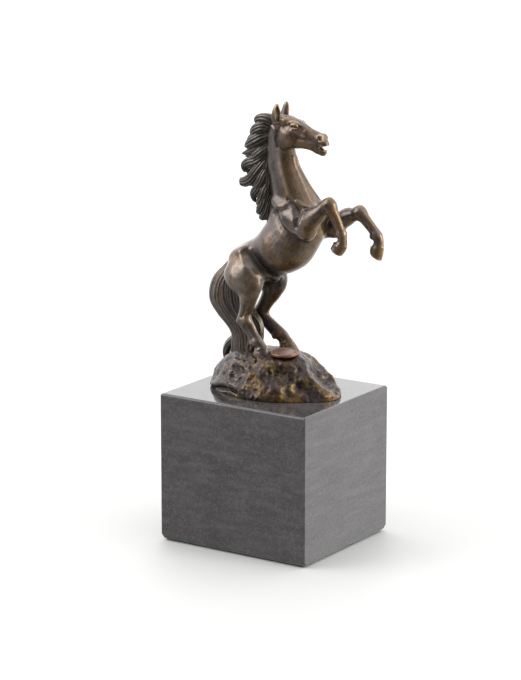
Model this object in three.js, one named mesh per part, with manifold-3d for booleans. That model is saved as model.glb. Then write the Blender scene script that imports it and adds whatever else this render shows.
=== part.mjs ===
// Small bronze of a rearing horse on a craggy mound, bolted to a polished stone block.
// Millimetres, +Z up. The origin is the centre of the face that the statue rests on,
// +X is the way the horse faces and +Y is its left side.

import * as THREE from 'three';
import { mergeVertices } from 'three/addons/utils/BufferGeometryUtils.js';
import Module from 'manifold-3d';

const wasm = await Module();
wasm.setup();

// ---- driving dimensions ----

const BLOCK = { x: 90, y: 80, top: 80, bevel: 0.8 };
const FELT = { thickness: 1, inset: 2, glue: 0.05 };
const GAP = 0.3;                 // clearance between castings before they are welded and chased
const WALL = 3;                  // wall of the hollow castings
const BOLT = { r: 3, headR: 5, headH: 6, seat: 14, reach: 11 };
const WASHER = { r: 9, thickness: 1.6 };
const SOCKET = { r: 2.5, depth: 3 };     // hexagon socket in the bolt head
const COUNTERBORE_R = 11;
const MOUND = { x: -1, rx: 36, ry: 24.5, height: 21.5, bossR: 7, sides: 36 };
const SEAL = { x: 10.6, y: -6, z: 22.6, r: 8, thickness: 2, rim: 0.5, tilt: 3 };
const STUD = { r: 1.1, length: 9 };
const SPIGOT = { r: 3, length: 5 };
const SIDES = 16;                // sides of a lofted section
const STEPS = 2;                 // sections made between two stations

// ---- materials ----

function finish(color, roughness, metalness) {
  return new THREE.MeshStandardMaterial({ color, roughness, metalness });
}

const darkBronze = () => finish(0x5a4630, 0.38, 0.9);
const mossBronze = () => finish(0x4a3a28, 0.5, 0.85);
const copperSeal = () => finish(0x7a5140, 0.4, 0.9);
const blackStone = () => finish(0x2b2b2e, 0.3, 0);
const steel = () => finish(0x9a9a9c, 0.35, 1);
const greenFelt = () => finish(0x23402c, 0.95, 0);

// ---- solids ----

// A closed three.js geometry as a solid that can be joined and cut.
function solid(geometry) {
  const bare = geometry.index ? geometry.clone() : geometry;
  bare.deleteAttribute('normal');
  bare.deleteAttribute('uv');
  const merged = mergeVertices(bare, 1e-4);
  return new wasm.Manifold(new wasm.Mesh({
    numProp: 3,
    vertProperties: new Float32Array(merged.attributes.position.array),
    triVerts: new Uint32Array(merged.index.array),
  }));
}

function geometryOf(manifold) {
  const mesh = manifold.getMesh();
  const geometry = new THREE.BufferGeometry();
  geometry.setAttribute('position', new THREE.BufferAttribute(mesh.vertProperties, 3));
  geometry.setIndex(new THREE.BufferAttribute(mesh.triVerts, 1));
  geometry.computeVertexNormals();
  return geometry;
}

function union(solids) {
  return solids.reduce((joined, next) => joined.add(next));
}

// Takes the tools out of the body, and keeps the largest part of what is left.
function cut(body, tools) {
  const rest = tools.reduce((left, tool) => left.subtract(tool), body);
  return rest.decompose().sort((a, b) => b.volume() - a.volume())[0];
}

// A closed skin over rings that hold the same number of points, with its two end rings filled in.
function skin(rings) {
  const count = rings[0].length;
  const points = rings.flat();
  const faces = [];
  for (let r = 0; r + 1 < rings.length; r++) {
    for (let i = 0; i < count; i++) {
      const a = r * count + i;
      const b = r * count + (i + 1) % count;
      faces.push(a, b, b + count, a, b + count, a + count);
    }
  }
  for (const end of [0, rings.length - 1]) {
    const middle = new THREE.Vector3();
    rings[end].forEach((p) => middle.addScaledVector(p, 1 / count));
    const hub = points.push(middle) - 1;
    for (let i = 0; i < count; i++) {
      const a = end * count + i;
      const b = end * count + (i + 1) % count;
      faces.push(...(end === 0 ? [hub, b, a] : [hub, a, b]));
    }
  }
  let volume = 0;
  for (let f = 0; f < faces.length; f += 3) {
    const [a, b, c] = [points[faces[f]], points[faces[f + 1]], points[faces[f + 2]]];
    volume += a.dot(new THREE.Vector3().crossVectors(b, c));
  }
  if (volume < 0) faces.reverse();
  const geometry = new THREE.BufferGeometry().setFromPoints(points);
  geometry.setIndex(faces);
  return geometry;
}

// Catmull-Rom through stations, each a list of numbers.
function smooth(stations) {
  const at = (i) => stations[Math.min(Math.max(i, 0), stations.length - 1)];
  const dense = [];
  for (let i = 0; i + 1 < stations.length; i++) {
    for (let k = 0; k < STEPS; k++) {
      const t = k / STEPS;
      dense.push(at(i).map((b, n) => {
        const [a, c, d] = [at(i - 1)[n], at(i + 1)[n], at(i + 2)[n]];
        return b + 0.5 * t * (c - a + t * (2 * a - 5 * b + 4 * c - d + t * (3 * (b - c) + d - a)));
      }));
    }
  }
  dense.push(at(stations.length - 1));
  return dense;
}

// A body of elliptical sections. A station is [x1, z1, x2, z2, y, w]: the two points where the
// section meets the side profile, the place of its middle across the horse, and its half width.
// grow makes every section larger by that much, and moves the two ends out by it.
function loft(stations, grow = 0) {
  const sections = smooth(stations).map(([x1, z1, x2, z2, y, w]) => ({
    middle: new THREE.Vector3((x1 + x2) / 2, y, (z1 + z2) / 2),
    reach: new THREE.Vector3((x1 - x2) / 2, 0, (z1 - z2) / 2),
    w,
  }));
  const last = sections.length - 1;
  const outward = (end, inner) => sections[end].middle.clone().sub(sections[inner].middle).setLength(grow);
  const shifts = [outward(0, 1), outward(last, last - 1)];
  sections[0].middle.add(shifts[0]);
  sections[last].middle.add(shifts[1]);
  return solid(skin(sections.map(({ middle, reach, w }) => {
    const deep = reach.clone().setLength(reach.length() + grow);
    return Array.from({ length: SIDES }, (_, i) => {
      const turn = 2 * Math.PI * i / SIDES;
      const p = middle.clone().addScaledVector(deep, Math.cos(turn));
      p.y += (w + grow) * Math.sin(turn);
      return p;
    });
  })));
}

// A round bar from one point to another.
function bar(from, to, r, sides = 20) {
  const axis = to.clone().sub(from);
  const geometry = new THREE.CylinderGeometry(r, r, axis.length(), sides);
  geometry.applyQuaternion(new THREE.Quaternion().setFromUnitVectors(
    new THREE.Vector3(0, 1, 0), axis.clone().normalize()));
  geometry.translate(...from.clone().add(to).multiplyScalar(0.5).toArray());
  return solid(geometry);
}

const point = (x, y, z) => new THREE.Vector3(x, y, z);

// ---- the horse's profile, measured up from the block's top face ----

const TRUNK = [
  [-27, 63, -18, 57, 0, 7],
  [-24.7, 71.4, -9, 55, 0, 10],
  [-19.6, 76, -1, 58.5, 0, 11],
  [-11, 81, 9, 63, 0, 12.5],
  [-6, 86.5, 19, 69, 0, 13],
  [-2.8, 92, 26, 79, 0, 12.5],
  [-2, 99, 29.8, 88, 0, 11.5],
  [-2, 106, 27.6, 99.8, 0, 10.2],
];

const NECK = [
  [-2, 106.4, 27.4, 100.4, 0, 10.2],
  [-3.8, 114, 20.6, 109.6, 0, 8.4],
  [-5, 121, 15, 118.6, 0, 7],
  [-5.4, 128, 12.8, 124.6, 0, 6],
  [-5.2, 135, 11.8, 129.6, 0, 5.3],
  [-2.5, 142, 9.2, 133.6, 0, 4.8],
];

const HEAD = [
  [1.5, 145, 4, 134, 0, 4.5],
  [6.5, 146.3, 8, 130.3, 0, 5.2],
  [12, 145, 12.5, 129.3, 0, 5.2],
  [17.6, 143.7, 17.5, 130.2, 0, 4.4],
  [22.3, 140.5, 21.5, 131.3, 0, 3.5],
  [27.3, 138.7, 26, 132.3, 0, 3.1],
  [30.5, 137.2, 29.5, 132, 0, 2.9],
  [32.2, 134.6, 31.4, 132.8, 0, 1.8],
];

const LOWER_JAW = [
  [16, 134, 15.5, 130.3, 0, 3],
  [24, 131, 23, 129, 0, 2.2],
  [28.3, 130, 28, 127.4, 0, 2],
  [30.9, 128.8, 30.2, 127.3, 0, 1.2],
];

const EAR = [
  [1, 142, 6, 142.6, 4, 1.9],
  [1.5, 147, 6.4, 147.4, 4.3, 1.7],
  [3.4, 152.2, 4.4, 152.3, 4.4, 0.5],
];

const MANE = [
  [-5, 145.5, 2, 141, 0.5, 3],
  [-11.5, 141.5, 0, 136, 1, 4],
  [-15.5, 133, -1.5, 130, 1, 4.5],
  [-18.5, 125, -1, 124, 1, 4.5],
  [-18.5, 117, -1, 117.5, 1, 4.2],
  [-20, 110.5, -0.5, 112, 0.5, 4],
  [-13.5, 106, 0.5, 107, 0, 3.6],
  [-12.3, 100, 1.5, 101, 0, 3.2],
  [-9.5, 94, 2, 96, 0, 2.8],
  [-5.5, 90.3, 1, 92, 0, 1.6],
];

const TAIL = [
  [-25.4, 68, -20, 62, 0, 2.2],
  [-30.6, 62.4, -21, 57, 0, 3.2],
  [-35.6, 56.6, -20.4, 52.6, 0, 4.2],
  [-38, 50.6, -18.6, 47.4, 0, 4.8],
  [-38, 44.6, -16.6, 42.6, 0, 5],
  [-34.2, 38.8, -13.4, 38.4, 0, 4.8],
  [-29.8, 34.4, -9.4, 34.2, 0, 4.4],
  [-26.6, 30.4, -8.2, 30, 0, 4],
  [-24.8, 26, -8.8, 25.6, 0, 3.8],
  [-24.8, 21.4, -9.8, 20.6, 0, 3.8],
  [-25.2, 16.6, -10.6, 16, 0, 3.8],
];

const RIGHT_FORELEG = [
  [15, 98, 19, 84, -6.5, 4.5],
  [22.2, 96.6, 26.1, 84.6, -9.3, 4.6],
  [27, 99.6, 29.3, 87.6, -10, 4.5],
  [30.9, 102.2, 32.5, 91.4, -10, 4.1],
  [34.8, 105.6, 36.2, 96.6, -10, 3.4],
  [37.6, 107.7, 38.1, 99, -9.9, 3.1],
  [40.4, 107.7, 39.1, 99, -9.8, 3.2],
  [42.9, 105, 39.9, 98.2, -9.6, 3],
  [44.6, 101.2, 40.8, 96.4, -9.4, 2.5],
  [46.2, 97.4, 41.9, 94, -9.2, 2.2],
  [47.8, 93.6, 43.1, 91.4, -9, 2.3],
  [49.2, 90.6, 43.4, 89.4, -8.8, 2.7],
  [49.4, 88, 44.4, 87.6, -8.7, 2.4],
  [49.4, 85.6, 43.9, 86.2, -8.6, 2.5],
  [49.3, 83.4, 41.9, 84.8, -8.5, 3.1],
  [48.2, 80.8, 40.9, 83.4, -8.5, 3.2],
  [46.2, 78.4, 40.2, 82.2, -8.5, 3.3],
];

const LEFT_FORELEG = [
  [17, 97, 22, 82, 6.5, 4.5],
  [30, 95.8, 30.5, 83.5, 9, 4.6],
  [34.6, 97.2, 34.4, 86.4, 9.4, 4.2],
  [38.6, 98.7, 38.4, 89.8, 9.5, 3.7],
  [43, 100.5, 42.4, 92.6, 9.5, 3.2],
  [46.4, 101, 44.8, 93.8, 9.4, 3.2],
  [49.3, 99.4, 46.4, 93.4, 9.3, 3],
  [51.6, 97, 48, 92.2, 9.1, 2.5],
  [54.2, 94.2, 50.4, 90.2, 9, 2.2],
  [56.8, 91.4, 52.4, 88.2, 9, 2.3],
  [59.4, 88.4, 53.2, 86.2, 9, 2.8],
  [60.3, 85.8, 54.8, 84.4, 9, 2.4],
  [60.5, 83.4, 54.4, 82.6, 9, 2.5],
  [60.5, 81.2, 53.2, 81.2, 9, 3.1],
  [60.2, 78, 52.8, 80, 9, 3.2],
  [59.2, 74.4, 53, 78.4, 9, 3.3],
];

const RIGHT_HIND_LEG = [
  [-7, 72, -18.5, 71, -4.5, 5],
  [-4.5, 66, -23.5, 65, -7.8, 6],
  [-2.6, 60.5, -25, 60.6, -9.2, 6],
  [-1.8, 56.6, -21.5, 55.6, -9.8, 5.2],
  [-2.9, 53, -15.9, 51.4, -10, 4.4],
  [-5.1, 47.8, -14.7, 47.6, -9.9, 3.6],
  [-7, 43.9, -15.3, 43.2, -9.6, 2.9],
  [-8.7, 41, -16.2, 39.2, -9.3, 2.5],
  [-8.4, 38.4, -17.2, 36.6, -9.2, 2.6],
  [-6.5, 35, -14.4, 33, -9, 2.4],
  [-4.9, 32, -11.4, 30.2, -9, 2.2],
  [-3.2, 29.8, -9.6, 27.6, -9, 2.3],
  [-1.6, 28, -8.6, 25.4, -9, 2.7],
  [0.2, 26, -6.4, 23.8, -9, 2.4],
  [1.4, 24.4, -6.2, 22.4, -9, 2.7],
  [2.3, 22.6, -6.8, 20.8, -9, 3.3],
  [4.2, 19.8, -7, 18.4, -9, 3.7],
];

const LEFT_HIND_LEG = [
  [-4, 72, -16.5, 70, 4.5, 5],
  [-1, 66, -21.5, 65, 7.8, 6],
  [0.4, 60.5, -21.5, 60.5, 9.2, 6],
  [1, 56.4, -18, 56, 9.6, 5.4],
  [0.2, 52.4, -14, 50.5, 9.6, 4.6],
  [-2.7, 48, -14.6, 47, 9.5, 3.8],
  [-7, 42.9, -16.4, 43, 9.3, 3.1],
  [-9.2, 39.6, -18.4, 39.6, 9.1, 2.7],
  [-9.6, 37.4, -18.8, 36.4, 9, 2.7],
  [-6.5, 35.1, -15, 32.8, 9, 2.5],
  [-3.4, 33, -11.6, 29.8, 9, 2.3],
  [-0.7, 31.3, -9, 27.6, 9, 2.4],
  [1.6, 29.4, -6.6, 25.8, 9, 2.8],
  [3.6, 27, -3.6, 24.4, 9, 2.5],
  [5.4, 25.2, -2.6, 22.8, 9, 2.7],
  [7, 23.4, -2.4, 21, 9, 3.3],
  [10, 19.4, -1.6, 18.4, 9, 3.7],
];

// ---- stone base ----

function block(width, depth, low, high, bevel) {
  const outline = new THREE.Shape();
  const x = width / 2 - bevel;
  const y = depth / 2 - bevel;
  outline.moveTo(-x, -y).lineTo(x, -y).lineTo(x, y).lineTo(-x, y).closePath();
  const geometry = new THREE.ExtrudeGeometry(outline, {
    depth: high - low - 2 * bevel,
    bevelEnabled: bevel > 0,
    bevelThickness: bevel,
    bevelSize: bevel,
    bevelSegments: 1,
  });
  geometry.translate(0, 0, low + bevel);
  return solid(geometry);
}

const blockLow = FELT.thickness;
const seatZ = blockLow + BOLT.seat;
const boltEnd = BLOCK.top + BOLT.reach;

function stoneBlock() {
  return cut(block(BLOCK.x, BLOCK.y, blockLow, BLOCK.top, BLOCK.bevel), [
    bar(point(0, 0, blockLow - 1), point(0, 0, seatZ), COUNTERBORE_R, 32),
    bar(point(0, 0, seatZ - 1), point(0, 0, BLOCK.top + 1), BOLT.r + 2 * GAP, 24),
  ]);
}

function feltPad() {
  const width = BLOCK.x - 2 * FELT.inset;
  const depth = BLOCK.y - 2 * FELT.inset;
  return block(width, depth, 0, FELT.thickness - FELT.glue, 0);
}

function clampBolt() {
  const headTop = seatZ - WASHER.thickness - 2 * GAP;
  const headLow = headTop - BOLT.headH;
  const body = bar(point(0, 0, headLow), point(0, 0, headTop), BOLT.headR, 24)
    .add(bar(point(0, 0, headTop - 1), point(0, 0, boltEnd), BOLT.r, 20));
  return cut(body, [bar(point(0, 0, headLow - 1), point(0, 0, headLow + SOCKET.depth), SOCKET.r, 6)]);
}

function clampWasher() {
  const top = seatZ - GAP;
  const low = top - WASHER.thickness;
  return cut(bar(point(0, 0, low), point(0, 0, top), WASHER.r, 32), [
    bar(point(0, 0, low - 1), point(0, 0, top + 1), BOLT.r + GAP, 24),
  ]);
}

// ---- craggy mound: a hollow casting with a tapped boss inside, open below ----

// Heights and radii of the mound's dome, as shares of its full height and radius.
const DOME = [[0, 1], [0.14, 1.03], [0.38, 0.98], [0.6, 0.88], [0.78, 0.76], [0.9, 0.6], [0.97, 0.38], [1, 0.14]];

// The same waviness goes through the inner and the outer wall.
function crag(turn) {
  return 1 + 0.035 * Math.sin(3 * turn + 0.8) + 0.03 * Math.sin(5 * turn + 2.1) + 0.02 * Math.sin(9 * turn);
}

function dome(shrink, low) {
  return solid(skin(DOME.map(([up, out]) => Array.from({ length: MOUND.sides }, (_, i) => {
    const turn = 2 * Math.PI * i / MOUND.sides;
    const r = out * crag(turn + up);
    return point(
      MOUND.x + (MOUND.rx * r - shrink) * Math.cos(turn),
      (MOUND.ry * r - shrink) * Math.sin(turn),
      low + (MOUND.height - shrink - low) * up,
    );
  }))));
}

function rockMound(sunkPieces) {
  const shrink = WALL;
  const hollow = solid(skin(DOME.slice(0, 6).map(([up, out]) => Array.from({ length: 20 }, (_, i) => {
    const turn = 2 * Math.PI * i / 20;
    return point(
      MOUND.x + (MOUND.rx * out * 0.93 - shrink) * Math.cos(turn),
      (MOUND.ry * out * 0.93 - shrink) * Math.sin(turn),
      (MOUND.height - 2 * shrink) * up / DOME[5][0] - (up === 0 ? 1 : 0),
    );
  }))));
  const boss = bar(point(0, 0, GAP), point(0, 0, MOUND.height - WALL), MOUND.bossR, 20);
  const tapped = bar(point(0, 0, -1), point(0, 0, BOLT.reach + 1), BOLT.r + GAP, 20);
  return cut(dome(0, GAP).subtract(hollow).add(boss), [tapped, ...sunkPieces]);
}

// ---- bronze disc set in the mound, with a raised rim ----

function sealDisc(grow = 0) {
  const { r, thickness, rim } = SEAL;
  const profile = [
    [0, -thickness], [r * 0.8, -thickness], [r, -rim], [r, rim], [r - rim, rim * 2],
    [r - 2.5 * rim, rim * 2], [r - 3.5 * rim, rim], [0, rim],
  ].map(([radius, z]) => new THREE.Vector2(radius + (radius > 0 ? grow : 0), z + Math.sign(z) * grow));
  const geometry = new THREE.LatheGeometry(profile, 32);
  geometry.rotateX(Math.PI / 2 + THREE.MathUtils.degToRad(SEAL.tilt));
  geometry.translate(SEAL.x, SEAL.y, SEAL.z);
  return solid(geometry);
}

// ---- horse castings ----

// Each limb is located by a round spigot that fits a hole in the trunk's wall.
const LIMBS = {
  right_foreleg: { profile: RIGHT_FORELEG, spigot: [20, -10, 88], side: 1 },
  left_foreleg: { profile: LEFT_FORELEG, spigot: [22, 10, 87], side: -1 },
  right_hind_leg: { profile: RIGHT_HIND_LEG, spigot: [-11, -10, 66], side: 1 },
  left_hind_leg: { profile: LEFT_HIND_LEG, spigot: [-9, 10, 66], side: -1 },
};

function spigot({ spigot: [x, y, z], side }, grow) {
  return bar(point(x, y, z), point(x, y + side * (SPIGOT.length + grow), z), SPIGOT.r + grow, 16);
}

// The hollow inside the trunk, open at the neck joint.
const hollowStations = TRUNK.slice(1).map(([x1, z1, x2, z2, y, w]) => {
  const share = WALL / Math.hypot(x1 - x2, z1 - z2);
  return [
    x1 + (x2 - x1) * share, z1 + (z2 - z1) * share,
    x2 + (x1 - x2) * share, z2 + (z1 - z2) * share, y, w - WALL,
  ];
});
const [joint] = hollowStations.slice(-1);
const plugStations = (grow, high) => [-8, high].map((rise) => [
  joint[0] - 0.1 * rise + grow, joint[1] + rise, joint[2] + 0.1 * rise - grow, joint[3] + rise, 0, joint[5] - grow,
]);

const trunkHull = loft(TRUNK);
const trunkRoom = loft(TRUNK, GAP);
const neckRoom = loft(NECK, GAP).add(loft(HEAD, GAP));
const limbRooms = Object.values(LIMBS).map(({ profile }) => loft(profile, GAP));

function trunk() {
  const hollow = loft(hollowStations).add(loft(plugStations(0, 2)));
  return cut(trunkHull, [hollow, ...Object.values(LIMBS).map((limb) => spigot(limb, GAP))]);
}

function headAndNeck() {
  const rightEar = EAR.map(([x1, z1, x2, z2, y, w]) => [x1, z1, x2, z2, -y, w]);
  const shape = union([NECK, HEAD, LOWER_JAW, EAR, rightEar].map((profile) => loft(profile)));
  return cut(shape, [trunkRoom]).add(loft(plugStations(GAP, 3)));
}

function limb(name, stud) {
  const shape = cut(loft(LIMBS[name].profile), [trunkRoom, neckRoom]).add(spigot(LIMBS[name], 0));
  return stud ? cut(shape, [stud]) : shape;
}

// A steel stud stands in each hind hoof and goes down through the mound.
const STUDS = { right_hoof_stud: [-1, -9], left_hoof_stud: [4.2, 9] };
const studTop = 22.5;

function stud([x, y], grow = 0) {
  return bar(point(x, y, studTop + grow), point(x, y, studTop - STUD.length - grow), STUD.r + grow, 12);
}

// ---- assembly ----

const statue = new THREE.Group();
const bronze = new THREE.Group();
bronze.position.z = BLOCK.top;
statue.add(bronze);

function place(group, name, body, material) {
  const mesh = new THREE.Mesh(geometryOf(body), material);
  mesh.name = name;
  group.add(mesh);
}

place(statue, 'stone_block', stoneBlock(), blackStone());
place(statue, 'felt_pad', feltPad(), greenFelt());
place(statue, 'clamp_bolt', clampBolt(), steel());
place(statue, 'clamp_washer', clampWasher(), steel());

const studHoles = Object.values(STUDS).map((at) => stud(at, GAP));
const sunk = [...studHoles, sealDisc(GAP), loft(TAIL, GAP), limbRooms[2], limbRooms[3]];
place(bronze, 'rock_mound', rockMound(sunk), mossBronze());
place(bronze, 'seal_disc', cut(sealDisc(), [limbRooms[2], limbRooms[3]]), copperSeal());
for (const [name, at] of Object.entries(STUDS)) {
  place(bronze, name, stud(at), steel());
}

place(bronze, 'trunk', trunk(), darkBronze());
place(bronze, 'head_and_neck', headAndNeck(), darkBronze());
place(bronze, 'mane', cut(loft(MANE), [neckRoom, trunkRoom]), darkBronze());
place(bronze, 'tail', cut(loft(TAIL), [trunkRoom, limbRooms[2], limbRooms[3]]), darkBronze());
place(bronze, 'right_foreleg', limb('right_foreleg'), darkBronze());
place(bronze, 'left_foreleg', limb('left_foreleg'), darkBronze());
place(bronze, 'right_hind_leg', limb('right_hind_leg', studHoles[0]), darkBronze());
place(bronze, 'left_hind_leg', limb('left_hind_leg', studHoles[1]), darkBronze());

export default statue;
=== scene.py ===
"""Rearing bronze horse on a stone block: the visible surfaces, sculpted round the CAD frame.

The bronze is modelled as a sculptor works in wax. Each main form is a lofted body, muscles are
pressed on as balls and straps, and creases are dug out, all in a block of sampled distances
(negative inside). Each casting is then cut out of the joined form and turned into a mesh.
Sculpting is in millimetres above the middle of the block's top face, +X the horse's heading.
"""
import math

import bmesh
import bpy
import numpy as np
import openvdb
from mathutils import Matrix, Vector


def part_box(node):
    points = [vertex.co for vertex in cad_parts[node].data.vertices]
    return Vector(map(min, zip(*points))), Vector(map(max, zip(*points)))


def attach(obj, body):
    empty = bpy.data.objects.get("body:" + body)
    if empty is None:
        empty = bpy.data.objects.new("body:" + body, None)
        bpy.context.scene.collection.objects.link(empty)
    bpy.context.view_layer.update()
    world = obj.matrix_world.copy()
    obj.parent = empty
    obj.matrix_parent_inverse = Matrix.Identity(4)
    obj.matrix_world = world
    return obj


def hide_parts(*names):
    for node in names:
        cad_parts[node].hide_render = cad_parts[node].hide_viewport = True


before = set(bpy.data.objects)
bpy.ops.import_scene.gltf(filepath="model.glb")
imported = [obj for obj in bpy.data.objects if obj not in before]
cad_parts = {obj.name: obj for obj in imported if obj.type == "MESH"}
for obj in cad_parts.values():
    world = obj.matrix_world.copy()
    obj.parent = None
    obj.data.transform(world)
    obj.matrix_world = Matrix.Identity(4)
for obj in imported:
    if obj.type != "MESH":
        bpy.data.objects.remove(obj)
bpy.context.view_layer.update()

MM = 0.001
BLOCK_LOW, BLOCK_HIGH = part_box("stone_block")
TOP = BLOCK_HIGH.z
BAND = 4            # distances are true up to this far from a surface
RING = 40           # points round a lofted section
SPAN_STEPS = 6      # sections made between two stations
FADE = 2.2          # a swell is worked out this many of its widths away
TINY = 1e-6
COARSE = 1


# ---- sampled clay ----

class Clay:
    """A box of space, sampled every step millimetres, in which distance fields are made."""

    def __init__(self, low, high, step):
        self.step = step * COARSE
        self.first = np.floor(np.array(low) / self.step).astype(int)
        last = np.ceil(np.array(high) / self.step).astype(int)
        self.size = tuple(int(n) for n in last - self.first + 1)
        self.low = self.first * self.step
        self.axes = [(self.first[i] + np.arange(self.size[i])) * self.step for i in range(3)]

    def near(self, low, high):
        """The samples inside a box: their slices, and their x, y and z as broadcasting arrays."""
        cuts = []
        for i in range(3):
            a = int(np.clip(math.floor(low[i] / self.step) - self.first[i], 0, self.size[i]))
            b = int(np.clip(math.ceil(high[i] / self.step) - self.first[i] + 1, 0, self.size[i]))
            cuts.append(slice(a, b))
        x, y, z = (axis[cut].astype(np.float32) for axis, cut in zip(self.axes, cuts))
        return tuple(cuts), x[:, None, None], y[None, :, None], z[None, None, :]

    def everywhere(self):
        """The x, y and z of all samples."""
        return self.near(self.low, self.low + np.array(self.size) * self.step)[1:]

    def from_skin(self, *skins):
        """The distance to one or more closed meshes, taken together."""
        points, faces, count = [], [], 0
        for p, f in skins:
            points.append(p)
            faces.append(f + count)
            count += len(p)
        grid = openvdb.FloatGrid.createLevelSetFromPolygons(
            np.vstack(points).astype(np.float32),
            triangles=np.vstack(faces).astype(np.uint32),
            transform=openvdb.createLinearTransform(voxelSize=self.step),
            halfWidth=BAND / self.step,
        )
        field = np.zeros(self.size, np.float32)
        grid.copyToArray(field, ijk=tuple(int(n) for n in self.first))
        return field

    def to_mesh(self, field):
        """Points and quads of the surface where the field is zero."""
        grid = openvdb.FloatGrid(BAND)
        grid.copyFromArray(np.ascontiguousarray(np.clip(field, -BAND, BAND)),
                           ijk=tuple(int(n) for n in self.first))
        grid.transform = openvdb.createLinearTransform(voxelSize=self.step)
        grid.gridClass = "level set"
        return grid.convertToQuads(isovalue=0)

    def sample(self, field, points):
        """The field's value at points, between the samples."""
        at = (points - self.low) / self.step
        base = np.clip(np.floor(at).astype(int), 0, np.array(self.size) - 2)
        part = np.clip(at - base, 0, 1)
        total = np.zeros(len(points))
        for corner in range(8):
            bits = [(corner >> i) & 1 for i in range(3)]
            weight = np.prod([part[:, i] if bits[i] else 1 - part[:, i] for i in range(3)], axis=0)
            total += weight * field[tuple(base[:, i] + bits[i] for i in range(3))]
        return total


def smooth_min(a, b, k):
    """The smaller of two fields, rounded over where they are within k of each other."""
    overlap = np.maximum(k - np.abs(a - b), 0) / k
    return np.minimum(a, b) - overlap * overlap * (k / 4)


def smooth_max(a, b, k):
    """The larger of two fields, rounded in the same way."""
    return -smooth_min(-a, -b, k)


def blurred(field, cells, passes=2):
    """The field averaged over a box of samples, again and again."""
    for _ in range(passes):
        for axis in range(3):
            sums = np.cumsum(field, axis=axis, dtype=np.float64)
            ahead = np.take(sums, np.minimum(np.arange(field.shape[axis]) + cells,
                                             field.shape[axis] - 1), axis=axis)
            behind = np.take(sums, np.maximum(np.arange(field.shape[axis]) - cells - 1, 0), axis=axis)
            field = ((ahead - behind) / (2 * cells + 1)).astype(np.float32)
    return field


# ---- shapes, and a form that they are pressed on or dug out of ----

class Ball:
    """An ellipsoid: its middle, its half lengths, and the direction in the side view of the first."""

    def __init__(self, middle, half, along=(1, 0)):
        self.middle = np.array(middle, float)
        self.half = np.array(half, float)
        first = np.array([along[0], 0, along[1]], float)
        first /= np.linalg.norm(first)
        third = np.cross(first, (0, 1, 0))
        third /= np.linalg.norm(third)
        self.axes = (first, np.cross(third, first), third)

    def reach(self):
        """The low and high corner of a box round it."""
        out = self.half.max()
        return self.middle - out, self.middle + out

    def distance(self, x, y, z):
        x, y, z = x - self.middle[0], y - self.middle[1], z - self.middle[2]
        near = far = 0
        for axis, half in zip(self.axes, self.half):
            along = x * axis[0] + y * axis[1] + z * axis[2]
            near = near + (along / half) ** 2
            far = far + (along / half ** 2) ** 2
        near = np.sqrt(near)
        return near * (near - 1) / np.maximum(np.sqrt(far), TINY)


class Strap:
    """A chain of round bars through points, each point with its radius."""

    def __init__(self, points, radii):
        self.points = np.array(points, float)
        self.radii = np.broadcast_to(np.array(radii, float), len(self.points))

    def reach(self):
        out = self.radii.max()
        return self.points.min(0) - out, self.points.max(0) + out

    def distance(self, x, y, z):
        gaps = []
        for a, b, ra, rb in zip(self.points, self.points[1:], self.radii, self.radii[1:]):
            run = b - a
            t = ((x - a[0]) * run[0] + (y - a[1]) * run[1] + (z - a[2]) * run[2]) / (run @ run)
            t = np.clip(t, 0, 1)
            away = np.sqrt((x - a[0] - t * run[0]) ** 2 + (y - a[1] - t * run[1]) ** 2
                           + (z - a[2] - t * run[2]) ** 2)
            gaps.append(away - (ra + t * (rb - ra)))
        return np.minimum.reduce(gaps)


class Flank:
    """One side of a form under the sculptor's hands. What is worked on it is given for the left,
    where y is positive; side -1 mirrors it to the right."""

    def __init__(self, clay, field, side=1):
        self.clay = clay
        self.field = field
        self.side = side

    def measured(self, shape, spare):
        """The samples up to spare away from a shape's box, and the shape's distance at them."""
        ends = [end * (1, self.side, 1) for end in shape.reach()]
        where, x, y, z = self.clay.near(np.min(ends, 0) - spare, np.max(ends, 0) + spare)
        return where, shape.distance(x, self.side * y, z)

    def press(self, shape, k=1):
        """Joins a shape to the form, with a fillet about k wide."""
        where, away = self.measured(shape, k + 1)
        self.field[where] = smooth_min(self.field[where], away, k)

    def dig(self, shape, k=0.5):
        """Takes a shape out of the form, with its edge rounded by about k."""
        where, away = self.measured(shape, k + 1)
        self.field[where] = smooth_max(self.field[where], -away, k)

    def swell(self, line, width, height):
        """Raises the surface by height along a line in space, fading over width, or sinks it."""
        where, away = self.measured(Strap(line, 0), FADE * width)
        away = away / width
        self.field[where] -= height * np.exp(-away * away)

    def on_skin(self, profile):
        """Points of the side view placed on this side's surface, which is found from outside."""
        clay, side = self.clay, self.side
        placed = []
        for x, z in profile:
            i, k = (int(round(v / clay.step - clay.first[n])) for v, n in ((x, 0), (z, 2)))
            if not (0 <= i < clay.size[0] and 0 <= k < clay.size[2]):
                continue
            column = self.field[i, :, k]
            inside = np.nonzero(column < 0)[0]
            if len(inside) == 0:
                continue
            j = inside[-1] if side > 0 else inside[0]
            y = clay.axes[1][j]
            if 0 <= j + side < clay.size[1]:
                last, beyond = abs(column[j]), abs(column[j + side])
                y += side * clay.step * last / (last + beyond + TINY)
            placed.append((x, side * y, z))
        return placed

    def ridge(self, profile, width, height):
        """A raised line along the surface, as seen from the side."""
        line = self.on_skin(profile)
        if len(line) > 1:
            self.swell(line, width, height)

    def crease(self, profile, width, depth):
        """A sunk line along the surface, as seen from the side."""
        self.ridge(profile, width, -depth)


def both_flanks(clay, field):
    """The right side of a form and then the left."""
    return [Flank(clay, field, side) for side in (-1, 1)]


# ---- lofted bodies ----

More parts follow.
